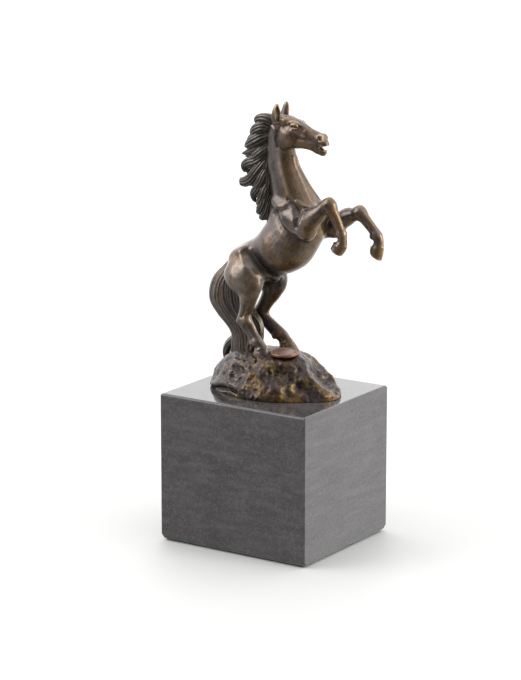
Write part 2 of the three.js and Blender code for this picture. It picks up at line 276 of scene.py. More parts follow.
def smooth(stations, steps=SPAN_STEPS):
    """Catmull-Rom through stations, each a row of numbers."""
    rows = np.array(stations, float)
    rows = np.vstack([rows[0], rows, rows[-1]])
    t = (np.arange(steps) / steps)[:, None]
    spans = [b + 0.5 * t * (c - a + t * (2 * a - 5 * b + 4 * c - d + t * (3 * (b - c) + d - a)))
             for a, b, c, d in zip(rows, rows[1:], rows[2:], rows[3:])]
    return np.vstack(spans + [rows[-1:]])


def skin(rings):
    """A closed triangle mesh over rings of points, facing out."""
    count, around, _ = rings.shape
    points = rings.reshape(-1, 3)
    hubs = np.array([rings[0].mean(0), rings[-1].mean(0)])
    i = np.arange(around)
    j = (i + 1) % around
    faces = []
    for r in range(count - 1):
        a, b = r * around + i, r * around + j
        faces += [np.stack([a, b, b + around], 1), np.stack([a, b + around, a + around], 1)]
    top = (count - 1) * around
    faces.append(np.stack([np.full(around, len(points)), j, i], 1))
    faces.append(np.stack([np.full(around, len(points) + 1), top + i, top + j], 1))
    points = np.vstack([points, hubs])
    faces = np.vstack(faces)
    a, b, c = (points[faces[:, n]] for n in range(3))
    if np.einsum("ij,ij->i", a, np.cross(b, c)).sum() < 0:
        faces = faces[:, ::-1]
    return points, faces


def loft(stations):
    """A body from its side profile. A station is x1, z1, x2, z2, y, half width and, where the section
    isn't even, egg: it runs between the two points, and a positive egg narrows its first end."""
    rows = smooth(stations)[:, :, None]
    turn = np.linspace(0, 2 * np.pi, RING, endpoint=False)[None, :]
    x1, z1, x2, z2, y, w = (rows[:, n] for n in range(6))
    egg = rows[:, 6] if rows.shape[1] > 6 else 0
    x = (x1 + x2) / 2 + (x1 - x2) / 2 * np.cos(turn)
    z = (z1 + z2) / 2 + (z1 - z2) / 2 * np.cos(turn)
    across = y + w * np.sin(turn) * (1 - egg * np.cos(turn))
    return skin(np.stack([x, across, z], 2))


def lock(path, radii, flat=1, ridges=8, depth=0.16, twist=0, steps=8, around=64):
    """A lock of hair: a tube along a path, flattened sideways and combed into fine strands."""
    rows = smooth(np.column_stack([path, radii]), steps)
    centre, radius = rows[:, :3], rows[:, 3]
    run = np.gradient(centre, axis=0)
    run /= np.linalg.norm(run, axis=1)[:, None]
    side = np.cross(run, (0, 1, 0))
    side /= np.linalg.norm(side, axis=1)[:, None]
    across = np.cross(side, run)
    turn = np.linspace(0, 2 * np.pi, around, endpoint=False)[None, :]
    along = np.linspace(0, 1, len(rows))[:, None]
    strand = np.abs(np.cos(ridges / 2 * turn + twist * np.pi * along)) - 0.6
    girth = radius[:, None] * (1 + depth * strand)
    ring = (centre[:, None, :]
            + (girth * np.cos(turn))[..., None] * side[:, None, :]
            + (girth * np.sin(turn) * flat)[..., None] * across[:, None, :])
    return skin(ring)


# ---- the horse's profile (the same stations as the CAD castings, with more shape) ----

BODY = [
    [-27, 63, -18, 57, 0, 6.5, 0],
    [-24.7, 71.4, -9, 55, 0, 9.5, 0.05],
    [-19.6, 76, -1, 58.5, 0, 11, 0.05],
    [-11, 81, 9, 63, 0, 12, 0.05],
    [-6, 86.5, 19, 69, 0, 13, 0.05],
    [-2.8, 92, 26, 79, 0, 12.3, 0.12],
    [-2, 99, 29.8, 88, 0, 11, 0.22],
    [-2, 106, 27.6, 99.5, 0, 9.8, 0.32],
    [-3.6, 114, 20.2, 110, 0, 8.2, 0.32],
    [-4.9, 121, 14.6, 119, 0, 6.8, 0.25],
    [-5.2, 128, 12.3, 125, 0, 5.8, 0.2],
    [-4.8, 135, 11.6, 130, 0, 5, 0.15],
    [-2, 142, 9, 134, 0, 4.3, 0],
]
NECK_JOINT = ((-2, 106.2), (28.3, 100.2))     # the line of the joint in the side view

SKULL = [
    [-0.5, 143.5, 2.5, 136, 0, 3.4, 0],
    [3, 146.2, 5, 132.5, 0, 4.5, 0],
    [8, 146.4, 9, 130.5, 0, 5, 0],
    [13, 145.2, 13, 130, 0, 4.8, -0.1],
    [17.6, 143.4, 17.5, 130.8, 0, 4, -0.15],
    [22.3, 140.9, 21.5, 131.9, 0, 3.1, -0.1],
    [26.6, 139.4, 25.6, 132.2, 0, 2.8, 0],
    [29.6, 138.3, 28.6, 131.9, 0, 2.9, 0],
    [31.4, 136, 30.6, 132, 0, 2.4, 0],
    [32.7, 134.4, 32.2, 132.9, 0, 1.2, 0],
]

LEGS = {
    "right_foreleg": [
        [15, 98, 19, 84, -6.5, 4.5],
        [22.2, 96.6, 26.1, 84.6, -9.3, 4.6],
        [27, 99.6, 29.3, 87.6, -10, 4.5],
        [30.9, 102.2, 32.5, 91.4, -10, 4.1],
        [34.8, 105.6, 36.2, 96.6, -10, 3.4],
        [37.6, 107.7, 38.1, 99, -9.9, 3.1],
        [40.4, 107.7, 39.1, 99, -9.8, 3.2],
        [42.9, 105, 39.9, 98.2, -9.6, 3],
        [44.6, 101.2, 40.8, 96.4, -9.4, 2.5],
        [46.2, 97.4, 41.9, 94, -9.2, 2.2],
        [47.8, 93.6, 43.1, 91.4, -9, 2.3],
        [49.2, 90.6, 43.4, 89.4, -8.8, 2.7],
        [49.4, 88, 44.4, 87.6, -8.7, 2.4],
        [49.4, 85.6, 43.9, 86.2, -8.6, 2.5],
        [49.3, 83.4, 41.9, 84.8, -8.5, 3.1],
        [48.2, 80.8, 40.9, 83.4, -8.5, 3.2],
        [46.2, 78.4, 40.2, 82.2, -8.5, 3.3],
    ],
    "left_foreleg": [
        [17, 97, 22, 82, 6.5, 4.5],
        [30, 95.8, 30.5, 83.5, 9, 4.6],
        [34.6, 97.2, 34.4, 86.4, 9.4, 4.2],
        [38.6, 98.7, 38.4, 89.8, 9.5, 3.7],
        [43, 100.5, 42.4, 92.6, 9.5, 3.2],
        [46.4, 101, 44.8, 93.8, 9.4, 3.2],
        [49.3, 99.4, 46.4, 93.4, 9.3, 3],
        [51.6, 97, 48, 92.2, 9.1, 2.5],
        [54.2, 94.2, 50.4, 90.2, 9, 2.2],
        [56.8, 91.4, 52.4, 88.2, 9, 2.3],
        [59.4, 88.4, 53.2, 86.2, 9, 2.8],
        [60.3, 85.8, 54.8, 84.4, 9, 2.4],
        [60.5, 83.4, 54.4, 82.6, 9, 2.5],
        [60.5, 81.2, 53.2, 81.2, 9, 3.1],
        [60.2, 78, 52.8, 80, 9, 3.2],
        [59.2, 74.4, 53, 78.4, 9, 3.3],
    ],
    "right_hind_leg": [
        [-7, 72, -18.5, 71, -4.5, 5],
        [-4.5, 66, -23.5, 65, -7.8, 6],
        [-2.6, 60.5, -25, 60.6, -9.2, 6],
        [-1.8, 56.6, -21.5, 55.6, -9.8, 5.2],
        [-2.9, 53, -15.9, 51.4, -10, 4.4],
        [-5.1, 47.8, -14.7, 47.6, -9.9, 3.6],
        [-7, 43.9, -15.3, 43.2, -9.6, 2.9],
        [-8.7, 41, -16.2, 39.2, -9.3, 2.5],
        [-8.4, 38.4, -17.2, 36.6, -9.2, 2.6],
        [-6.5, 35, -14.4, 33, -9, 2.4],
        [-4.9, 32, -11.4, 30.2, -9, 2.2],
        [-3.2, 29.8, -9.6, 27.6, -9, 2.3],
        [-1.6, 28, -8.6, 25.4, -9, 2.7],
        [0.2, 26, -6.4, 23.8, -9, 2.4],
        [1.4, 24.4, -6.2, 22.4, -9, 2.7],
        [2.3, 22.6, -6.8, 20.8, -9, 3.3],
        [4.2, 19.8, -7, 18.4, -9, 3.7],
    ],
    "left_hind_leg": [
        [-4, 72, -16.5, 70, 4.5, 5],
        [-1, 66, -21.5, 65, 7.8, 6],
        [0.4, 60.5, -21.5, 60.5, 9.2, 6],
        [1, 56.4, -18, 56, 9.6, 5.4],
        [0.2, 52.4, -14, 50.5, 9.6, 4.6],
        [-2.7, 48, -14.6, 47, 9.5, 3.8],
        [-7, 42.9, -16.4, 43, 9.3, 3.1],
        [-9.2, 39.6, -18.4, 39.6, 9.1, 2.7],
        [-9.6, 37.4, -18.8, 36.4, 9, 2.7],
        [-6.5, 35.1, -15, 32.8, 9, 2.5],
        [-3.4, 33, -11.6, 29.8, 9, 2.3],
        [-0.7, 31.3, -9, 27.6, 9, 2.4],
        [1.6, 29.4, -6.6, 25.8, 9, 2.8],
        [3.6, 27, -3.6, 24.4, 9, 2.5],
        [5.4, 25.2, -2.6, 22.8, 9, 2.7],
        [7, 23.4, -2.4, 21, 9, 3.3],
        [10, 19.4, -1.6, 18.4, 9, 3.7],
    ],
}


# ---- main forms: trunk, neck and head ----

def shoulder(flank):
    """Shoulder blade and upper arm."""
    flank.press(Strap([(5, 6, 102), (12, 7.8, 98), (19, 8, 93)], [2.2, 3.3, 4]), 3.4)
    flank.press(Ball((18.4, 8.2, 92.4), (9.2, 4.2, 5.2), (0.78, -0.62)), 1.6)
    flank.press(Ball((24, 7.4, 94), (5.5, 4.2, 5.5)), 2)


def barrel(flank):
    """Flank hollow, hip bone and the roundness of the haunch."""
    flank.dig(Ball((-5.6, 14.4, 69), (8, 2.8, 4.6), (0.55, -0.83)), 3)
    flank.press(Ball((-14.4, 8, 74.2), (3.6, 2.2, 1.9), (0.75, 0.6)), 2)
    flank.press(Ball((-16, 6, 67), (8, 5, 8)), 4)


def neck_muscles(flank):
    """The crest's rounded band and the long muscle that runs down to the chest."""
    flank.crease([(4.8, 137), (4.6, 129), (5.6, 121), (8.2, 113), (10.6, 106)], 2.4, 0.3)
    flank.ridge([(12, 125), (14.2, 118), (18.6, 111.4), (23, 105)], 2.4, 0.3)
    throat = [(12.6, 1.6, 124.6), (14.8, 1.9, 118.4), (19.4, 2.8, 110.4), (24, 4.4, 103.8)]
    flank.swell(throat, 0.9, 0.55)


def chest(middle, flanks):
    """A breast muscle on each side of a groove."""
    for flank in flanks:
        flank.press(Ball((24.6, 4.4, 97), (5.4, 4.6, 6.4), (0.2, 1)), 2.5)
    middle.dig(Strap([(31, 0, 104), (31.6, 0, 97), (31, 0, 90)], 0.9), 1.6)


def croup(middle):
    """The cleft of the hindquarters, and the sheath under the belly."""
    middle.dig(Strap([(-28.8, 0, 70), (-28.4, 0, 64), (-24, 0, 56)], 1.6), 3)
    middle.press(Ball((-1.5, 0, 61), (5, 3, 2.6), (0.9, -0.3)), 2.5)


def sculpt_body(clay):
    field = smooth_min(clay.from_skin(loft(BODY)), clay.from_skin(loft(SKULL)), 1.5)
    middle = Flank(clay, field)
    flanks = both_flanks(clay, field)
    chest(middle, flanks)
    croup(middle)
    for flank in flanks:
        shoulder(flank)
        barrel(flank)
        neck_muscles(flank)
    return field


# ---- legs ----

def side_of(name):
    return -1 if name.startswith("right") else 1


def sculpt_leg(clay, name):
    field = clay.from_skin(loft(LEGS[name]))
    shape = hind_leg_shape if name.endswith("hind_leg") else foreleg_shape
    shape(Flank(clay, field, side_of(name)), LEGS[name])
    return field


def station(stations, n):
    """The front point, back point and middle of a leg's station, as on the left side."""
    x1, z1, x2, z2, y, _ = stations[n]
    y = abs(y)
    return np.array([x1, y, z1]), np.array([x2, y, z2]), np.array([(x1 + x2) / 2, y, (z1 + z2) / 2])


def hoof_lines(flank, stations):
    """Coronet swell above the hoof wall."""
    front, back, middle = station(stations, -3)
    across = np.array([0, stations[-3][5], 0])
    flank.press(Strap([front, middle + across, back, middle - across, front], 0.45), 0.8)


def hind_leg_shape(flank, stations):
    """Thigh, stifle and gaskin, then the hock with the heel's cord above it, and the cannon."""
    y = abs(stations[3][4])
    shift = stations[3][0] - LEGS["right_hind_leg"][3][0]
    hock_at = len(stations) - 9
    flank.press(Ball((-13.4 + shift, y, 61.5), (9.5, 5.4, 9.5)), 2.5)
    flank.press(Ball((-4.6 + shift, y - 0.6, 57.6), (3.6, 3.6, 2.6), (0.2, 1)), 1.6)
    flank.press(Ball((-9.6 + shift, y + 0.5, 51), (7, 3.7, 3.6), (0.3, 1)), 1.6)
    _, heel, hock = station(stations, hock_at)
    above = station(stations, hock_at - 2)[2]
    flank.crease([(above[0] + 1.4, above[2] + 2.4), (above[0] + 0.2, above[2] - 1),
                  (hock[0] - 0.4, hock[2] + 2)], 0.8, 0.55)
    cord = [heel + (1.2, 0, 0.4), heel + (1.5, 0, 3.2), above + (-2.4, 0, 2)]
    flank.press(Strap(cord, [1.5, 1, 0.9]), 1)
    flank.press(Ball(hock + (1.6, 1, 0.2), (2.4, 2, 2.4)), 1.2)
    tendon(flank, stations, hock_at + 1, hock_at + 4)
    fetlock(flank, stations, hock_at + 4, 2.8)
    hoof_lines(flank, stations)


def foreleg_shape(flank, stations):
    """Elbow and forearm, then the knee's bones, and the cannon."""
    elbow, forearm = (station(stations, n)[2] for n in (1, 3))
    flank.press(Ball(elbow + (1.6, 0, -1), (5.4, 4.6, 5.6), (0.8, -0.6)), 1.6)
    flank.press(Ball(forearm + (-1.2, 0.5, 0.2), (6.4, 3.9, 4.6), (0.8, 0.6)), 1.6)
    knee_at = len(stations) - 11
    front, _, knee = station(stations, knee_at)
    flank.press(Ball(knee + (0.3, 0, 0.6), (3.3, 3.1, 3.7), (0.9, -0.4)), 2.2)
    flank.press(Ball(front - (0.6, 0, 0.8), (1.6, 2.2, 1.4), (0.8, -0.6)), 1)
    flank.press(Ball(knee + (-2.6, 0, -2.6), (1.5, 1.6, 1.5)), 1)
    arm = [station(stations, n)[2] for n in (2, 3, 4, 5)]
    flank.crease([(p[0] + 0.9, p[2] - 1.6) for p in arm], 1, 0.4)
    flank.crease([(knee[0] + 0.6, knee[2] + 1), (knee[0] + 1.2, knee[2] + 0.4)], 0.9, 0.35)
    tendon(flank, stations, knee_at + 2, knee_at + 4)
    fetlock(flank, stations, knee_at + 5, 2.5)
    hoof_lines(flank, stations)


def tendon(flank, stations, start, stop):
    """The cord down the back of the cannon, with a groove in front of it on both sides."""
    spans = [station(stations, n)[1:] for n in range(start, stop + 1)]
    cord, groove = ([back + (middle - back) * share for back, middle in spans] for share in (0.3, 0.75))
    flank.press(Strap(cord, 0.9), 0.8)
    for face in both_flanks(flank.clay, flank.field):
        face.crease([(x, z) for x, _, z in groove[:-1]], 0.7, 0.4)


def fetlock(flank, stations, n, radius):
    """The round joint above the hoof, with the small bones that stand out behind it."""
    _, back, middle = station(stations, n)
    flank.press(Ball(middle, (radius, radius * 0.95, radius)), 1)
    flank.press(Ball(back + (middle - back) * 0.2, (1.4, 1.7, 1.6)), 0.9)


# ---- head ----

def head_details(clay, field):
    flanks = both_flanks(clay, field)
    for flank in flanks:
        cheek(flank)
        eye(flank)
        muzzle_side(flank)
        ear(flank)
    mouth(Flank(clay, field), flanks)


def cheek(flank):
    """The round jaw muscle with the crease round it, the cheek bone, and the hollows in front."""
    flank.press(Ball((10.4, 3.2, 135.4), (5.5, 2.5, 5.8)), 0.7)
    flank.crease([(6.6, 141), (4.4, 138), (4, 134), (5.4, 130.6), (8.6, 128.6), (12, 128.2)], 1, 0.45)
    flank.ridge([(13.4, 139.4), (17, 138.2), (19.6, 136.9)], 0.8, 0.4)
    flank.press(Ball((19.3, 3.3, 136.8), (1.3, 0.9, 0.9), (1, -0.4)), 0.8)
    flank.crease([(16.8, 135.6), (18.6, 133.4), (18, 131.4)], 1.8, 0.25)
    flank.crease([(21.6, 137.6), (25, 136)], 1.3, 0.25)
    flank.press(Ball((8.6, 3.2, 143.6), (3.2, 1.7, 2), (0.8, -0.3)), 1.2)


def eye(flank):
    """The eyeball in its socket, between two lids and under the brow."""
    flank.dig(Ball((14.5, 5.2, 141.5), (2.4, 1.5, 1.15), (1, -0.1)), 0.6)
    flank.press(Ball((14.5, 3.45, 141.5), (1.6, 1.25, 1.15)), 0.1)
    upper = [(12.2, 4.35, 141.2), (13.2, 4.55, 142.3), (14.8, 4.45, 142.6), (16.2, 4.1, 142),
             (17, 3.9, 141.1)]
    flank.press(Strap(upper, [0.3, 0.5, 0.55, 0.46, 0.3]), 0.3)
    lower = [(12.3, 4.4, 141), (13.8, 4.6, 140.35), (15.4, 4.45, 140.3), (16.9, 4, 140.9)]
    flank.press(Strap(lower, [0.28, 0.38, 0.38, 0.28]), 0.3)
    brow = [(10.6, 3.9, 142.7), (12.8, 3.6, 143.5), (15.5, 3.1, 143.1), (17.4, 2.6, 142)]
    flank.press(Strap(brow, [0.6, 0.8, 0.7, 0.4]), 1)
    flank.crease([(8.4, 140.2), (9.6, 141.6)], 1.3, 0.5)
    flank.crease([(17.6, 141.2), (19.2, 140)], 1.1, 0.35)


def muzzle_side(flank):
    """The nostril with its rim, and the line of the lips."""
    flank.press(Ball((28.8, 1.7, 136.2), (2.2, 1.4, 2), (0.9, -0.5)), 0.8)
    rim = [(27.6, 136.4), (27.9, 137.5), (29, 138.1), (30.2, 137.5), (30.6, 136.2), (30.2, 135),
           (29.2, 134.8)]
    flank.ridge(rim, 0.55, 0.65)
    flank.dig(Strap([(28.9, 3.4, 137.2), (29.5, 3.5, 136.6), (29.7, 3.3, 135.8)], [0.65, 0.9, 0.65]), 0.25)
    flank.crease([(24.2, 132.5), (26.4, 132.3), (28.4, 132.1)], 0.4, 0.35)


def mouth(middle, flanks):
    """The lower jaw, the gap of the open mouth, the chin, the lower teeth and the upper lip."""
    jaw = [(14, 0, 131.8), (19, 0, 132.1), (23, 0, 131.2), (26.4, 0, 129.6), (29.2, 0, 129),
           (30.4, 0, 129.2)]
    middle.press(Strap(jaw, [2.5, 2.2, 2, 1.9, 1.8, 1.3]), 1)
    for flank in flanks:
        flank.press(Strap([(15, 2, 132), (22, 1.3, 131.4), (28, 0.7, 129.8)], [1.8, 1.6, 1.4]), 0.8)
        flank.press(Strap([(17, 1.6, 132.8), (22, 1.5, 132.2), (27, 1.1, 131)], [1.5, 1.4, 1.1]), 1)
        flank.press(Strap([(15, 2.5, 133.6), (20, 2.1, 133.6), (26.4, 1.5, 132.4)], [1.7, 1.6, 1.2]), 1.4)
    for y in (-3.2, -1.6, 0, 1.6, 3.2):
        gap = [(28.8, y, 131.7), (29.8, y, 131.5), (31.4, y, 131.3), (34, y, 131.2)]
        middle.dig(Strap(gap, [0.15, 0.4, 0.75, 1]), 0.3)
    middle.press(Ball((29.4, 0, 128.2), (1.7, 1.5, 1.1)), 0.7)
    middle.press(Strap([(31, -1, 130), (31.2, 0, 130), (31, 1, 130)], 0.45), 0.4)
    lip = [(27.4, 1.7, 132.9), (29.8, 2, 132.8), (32.2, 0.9, 133.1)]
    for flank in flanks:
        flank.press(Strap(lip, [0.5, 0.65, 0.6]), 0.4)


def ear(flank):
    """A leaf-shaped cup that opens forward and outward."""
    shell = np.array([
        [1.4, 141.6, 5.8, 142.4, 3.9, 1.7],
        [0.8, 145.4, 6.2, 146, 4.3, 1.9],
        [1.6, 148.6, 6.3, 149, 4.5, 1.6],
        [2.6, 151, 5.7, 151.2, 4.5, 1.1],
        [3.6, 152.4, 4.8, 152.5, 4.5, 0.45],
    ])
    shell[:, 4] *= flank.side
    cup = flank.clay.from_skin(loft(shell))
    opening = [(5.4, 5.1, 143.6), (5.6, 5.4, 146.6), (5.2, 5.4, 149.2), (4.8, 4.9, 151)]
    Flank(flank.clay, cup, flank.side).dig(Strap(opening, [0.8, 1.35, 1, 0.35]), 0.25)
    np.copyto(flank.field, smooth_min(flank.field, cup, 0.7))


# ---- castings cut from the joined form ----

def part_of(own, others):
    """Negative where the own form is nearer than the others."""
    return own - np.minimum.reduce(others)


UNDERLAP = 2        # a casting goes on this far past its border, under its neighbour
SINKING = 0.3       # and sinks by this share of the way


def casting(whole, region):
    """The whole form's surface inside a region; past its border it sinks under its neighbour's."""
    return np.maximum(whole + SINKING * np.maximum(region, 0), region - UNDERLAP)


def neck_plane(x, z):
    """The height above the joint between trunk and neck."""
    (x1, z1), (x2, z2) = NECK_JOINT
    length = math.hypot(x2 - x1, z2 - z1)
    return ((x - x1) * (z1 - z2) + (z - z1) * (x2 - x1)) / length


# Folds of skin and muscle that cross from the trunk to the limbs: width, height (negative where
# sunk), and points of the side view.
FLANK_FOLDS = [
    (1.6, -0.65, [(8.4, 96.8), (9.8, 93.4), (12.2, 90), (17.2, 86.8), (21.2, 85.8), (24.6, 83.4)]),
    (0.9, 0.6, [(11.8, 94.4), (14, 91.4), (18.2, 88.8), (21.9, 88), (25.6, 86)]),
    (1.2, -0.9, [(14.6, 104.4), (16.4, 103.4), (19.6, 101.7), (22.4, 98.9), (23.2, 96.4), (22.4, 94.2),
                 (21.8, 91.8)]),
    (1.5, -0.6, [(5.4, 95.8), (9.2, 97.6), (13.2, 98.8), (15.6, 99.6)]),
    (1.6, 0.35, [(6.2, 99.2), (10, 100.9), (12.9, 102.4), (14.6, 103)]),
    (1, 0.4, [(19.4, 103.8), (22.8, 102.1), (25.6, 101.6)]),
    (1.2, 0.5, [(24.8, 99), (25.2, 96.4), (24.4, 93.6)]),
    (1.6, 0.5, [(16.4, 99.8), (19, 97.6), (19.2, 94.6)]),
    (2, 0.6, [(-14.6, 73.4), (-9.8, 67.4), (-5, 63.2), (-1.6, 60.2)]),
    (4.4, -1.5, [(-5, 72.8), (-1.6, 69), (1.6, 65.8), (4.8, 62.4)]),
    (1.8, -0.8, [(-8.4, 73.6), (-5.2, 70.6), (-1.8, 67.2), (1.4, 63.8), (3.6, 60.8)]),
    (2.8, -0.3, [(-15.8, 70.6), (-12.2, 67.6)]),
    (5, 0.9, [(-14, 59), (-9, 57.8)]),
]


def flank_folds(flank):
    """The folds listed above, and then the hollows between four ribs."""
    for width, height, line in FLANK_FOLDS:
        flank.ridge(line, width, height)
    for n in range(4):
        x, z = 2.6 + 2 * n, 79.2 + 1.35 * n
        flank.crease([(x + 1.3, z + 3.4), (x, z), (x - 1.5, z - 3)], 1.5, 0.12)


# Boxes of space to sculpt in: the low and high corner, and the step between samples.
LEG_STEP = 0.28
LEG_BOX = {
    "right_foreleg": ((8, -18, 74), (54, -1, 114)),
    "left_foreleg": ((8, 1, 70), (65, 18, 108)),
    "right_hind_leg": ((-30, -19, 14), (9, -0.5, 80)),
    "left_hind_leg": ((-28, 0.5, 14), (15, 19, 80)),
}
TRUNK_BOX = ((-34, -18, 50), (40, 18, 110), 0.36)
HEAD_BOX = ((-12, -14, 98), (36, 14, 156), 0.25)
JOINT_FILLET = 2.2      # between the body and a leg


def joined(clay, legs):
    """The body and the named legs, each alone, and all of them joined with fillets."""
    forms = {"body": sculpt_body(clay)}
    for name in legs:
        forms[name] = sculpt_leg(clay, name)
    whole = forms["body"]
    for name in legs:
        whole = smooth_min(whole, forms[name], JOINT_FILLET)
    for flank in both_flanks(clay, whole):
        flank_folds(flank)
    return forms, whole


def build_trunk():
    clay = Clay(*TRUNK_BOX)
    forms, whole = joined(clay, LEGS)
    x, _, z = clay.everywhere()
    region = part_of(forms["body"], [forms[name] for name in LEGS])
    return clay, whole, casting(whole, np.maximum(region, neck_plane(x, z)))


def build_head():
    clay = Clay(*HEAD_BOX)
    forms, whole = joined(clay, ["right_foreleg", "left_foreleg"])
    head_details(clay, whole)
    x, _, z = clay.everywhere()
    region = part_of(forms["body"], [forms["right_foreleg"], forms["left_foreleg"]])
    return clay, whole, casting(whole, np.maximum(region, -neck_plane(x, z)))


def build_leg(name):
    clay = Clay(*LEG_BOX[name], LEG_STEP)
    forms, whole = joined(clay, [name])
    return clay, whole, casting(whole, part_of(forms[name], [forms["body"]]))


# ---- hair ----

# The mane's locks on the right side and along the crest: points, and the radius at each.
MANE_LOCKS = [
    ([(2, -2, 142), (-2, -2.4, 143.4), (-6, -2.6, 143.6), (-9.4, -2.2, 142.4), (-10.4, -1.6, 140.6)],
     [2, 2.8, 2.6, 2, 0.8]),
    ([(0, -1.6, 140.6), (-4, -2.2, 142), (-8, -2.4, 140.8), (-10.8, -2, 138.6)], [2, 2.3, 2, 0.8]),
    ([(-2, -1, 139), (-5, -3, 139.4), (-9, -3.4, 137.8), (-12, -2.4, 135.8), (-13.4, -2, 134.2)],
     [2, 2.8, 2.8, 2, 0.6]),
    ([(-2, -1, 136), (-6, -1.8, 136), (-10.6, -2.2, 134), (-14, -2, 132), (-15.6, -2, 131)],
     [2, 2.2, 2.2, 1.7, 0.6]),
    ([(-3, -1.2, 135.4), (-6, -3.2, 134), (-10.4, -3.8, 131.4), (-14.4, -3, 129.2), (-17.2, -2, 127.8)],
     [2, 2.8, 3, 2.2, 0.6]),
    ([(-3, -1, 131.4), (-6.6, -2, 129.4), (-11, -2.4, 126.8), (-15, -2, 125), (-19.2, -1.6, 123.9)],
     [2, 2.4, 2.5, 1.8, 0.4]),
    ([(-3, -1, 129.6), (-5.4, -3.2, 127), (-8.4, -3.8, 124.4), (-11.2, -3.4, 122.8), (-13.6, -3, 123)],
     [1.8, 2.4, 2.4, 1.8, 0.6]),
    ([(-3.4, -1, 128), (-6, -2.4, 124), (-9.8, -3, 121.2), (-14, -2.8, 119.8), (-17, -2.4, 118),
      (-16.8, -2.4, 115.8), (-14.8, -2.4, 115.6)], [1.8, 2.4, 2.6, 2.6, 2.2, 1.5, 0.6]),
    ([(-3.6, -1, 124), (-6.6, -2.6, 119.6), (-9.6, -3.2, 115.6), (-12.4, -3.2, 112), (-16.2, -2.8, 109.6),
      (-19.6, -2.4, 109.2)], [1.8, 2.4, 2.7, 2.7, 2.6, 2]),
    ([(-4, -1, 121), (-7, -1.8, 116.4), (-9, -2, 112.6), (-12, -2, 109.6), (-15, -1.6, 109)],
     [1.8, 2.3, 2.4, 2, 0.9]),
    ([(-3.4, -1, 119), (-5.2, -3, 114.6), (-6.8, -3.6, 110.6), (-9.6, -3.4, 107.8), (-11.6, -3, 108.2)],
     [1.8, 2.3, 2.4, 1.9, 0.8]),
    ([(-3.4, -1.2, 117), (-5, -2.4, 111.4), (-8.2, -3, 107), (-11, -2.8, 104), (-11.2, -2.4, 101),
      (-9.8, -2.4, 99.4)], [1.8, 2.4, 2.5, 2.2, 1.4, 0.5]),
    ([(-3, -1.2, 112), (-4.4, -3.2, 106.6), (-5.8, -3.6, 102), (-8, -3.2, 99.4), (-9.2, -3, 100)],
     [1.6, 2.2, 2.3, 1.7, 0.7]),
    ([(-2.4, -1.4, 108.6), (-3.8, -3, 103), (-5.2, -3.4, 98.4), (-7.6, -3, 95.4), (-9.4, -2.6, 95.2)],
     [1.6, 2.2, 2.5, 2.3, 1.2]),
    ([(-1.6, -1.6, 104), (-2.6, -2.8, 99.4), (-3.8, -3, 95.2), (-5.8, -2.8, 92.2), (-7.8, -2.4, 92.2)],
     [1.5, 2, 2.3, 2, 1]),
    ([(-1, -1.6, 100), (-1.8, -2.4, 96), (-2.8, -2.6, 92.8), (-4.4, -2.4, 90.8)], [1.4, 1.8, 1.8, 0.8]),
    ([(-3.4, 0, 134), (-4.6, -1.4, 127.6), (-6.4, -2, 121), (-7.4, -2, 114.8), (-8.2, -1.6, 109)],
     [2.2, 2.6, 2.4, 2.2, 1.6]),
    ([(-3, 0, 128), (-3.8, -1.6, 121), (-4.8, -2, 115), (-5.4, -2, 109), (-6.2, -1.6, 103)],
     [2.2, 2.4, 2.4, 2.2, 1.4]),
    ([(-2.6, 0, 121), (-2.8, -1.8, 114), (-3.2, -2.2, 108), (-3.8, -2.2, 102), (-4.4, -1.8, 96.6)],
     [2, 2.2, 2.2, 2, 1.4]),
    ([(-3, 0, 142), (-6.6, 0, 142), (-9.4, 0, 140.4), (-11, 0, 138)], [2.6, 2.8, 2.4, 1]),
    ([(-3.4, 0, 138), (-8, 0, 136), (-12, 0, 132.4), (-15, 0, 129)], [2.8, 3, 2.6, 1.2]),
    ([(-3.4, 0, 132), (-7, 0, 129), (-11, 0, 125), (-14, 0, 122)], [2.8, 3, 2.6, 1.2]),
]

# The tail's whole form: x and z of its outer and inner edge, and half its thickness.
TAIL_FORM = [
    (-25.4, 68, -20, 62, 2.2),
    (-30.6, 62.4, -21, 57, 3.2),
    (-35.6, 56.6, -20.4, 52.6, 4.2),
    (-38, 50.6, -18.6, 47.4, 4.8),
    (-38, 44.6, -16.6, 42.6, 5),
    (-34.2, 38.8, -13.4, 38.4, 4.8),
    (-29.8, 34.4, -9.4, 34.2, 4.4),
    (-26.6, 30.4, -8.2, 30, 4),
    (-24.8, 26, -8.8, 25.6, 3.8),
    (-24.8, 21.4, -9.8, 20.6, 3.8),
    (-25.2, 16.6, -10.6, 16, 3.8),
]
MANE_BOX = ((-24, -10, 86), (8, 10, 151), 0.2)
TAIL_BOX = ((-42, -9, 9), (-4, 12, 72), 0.22)


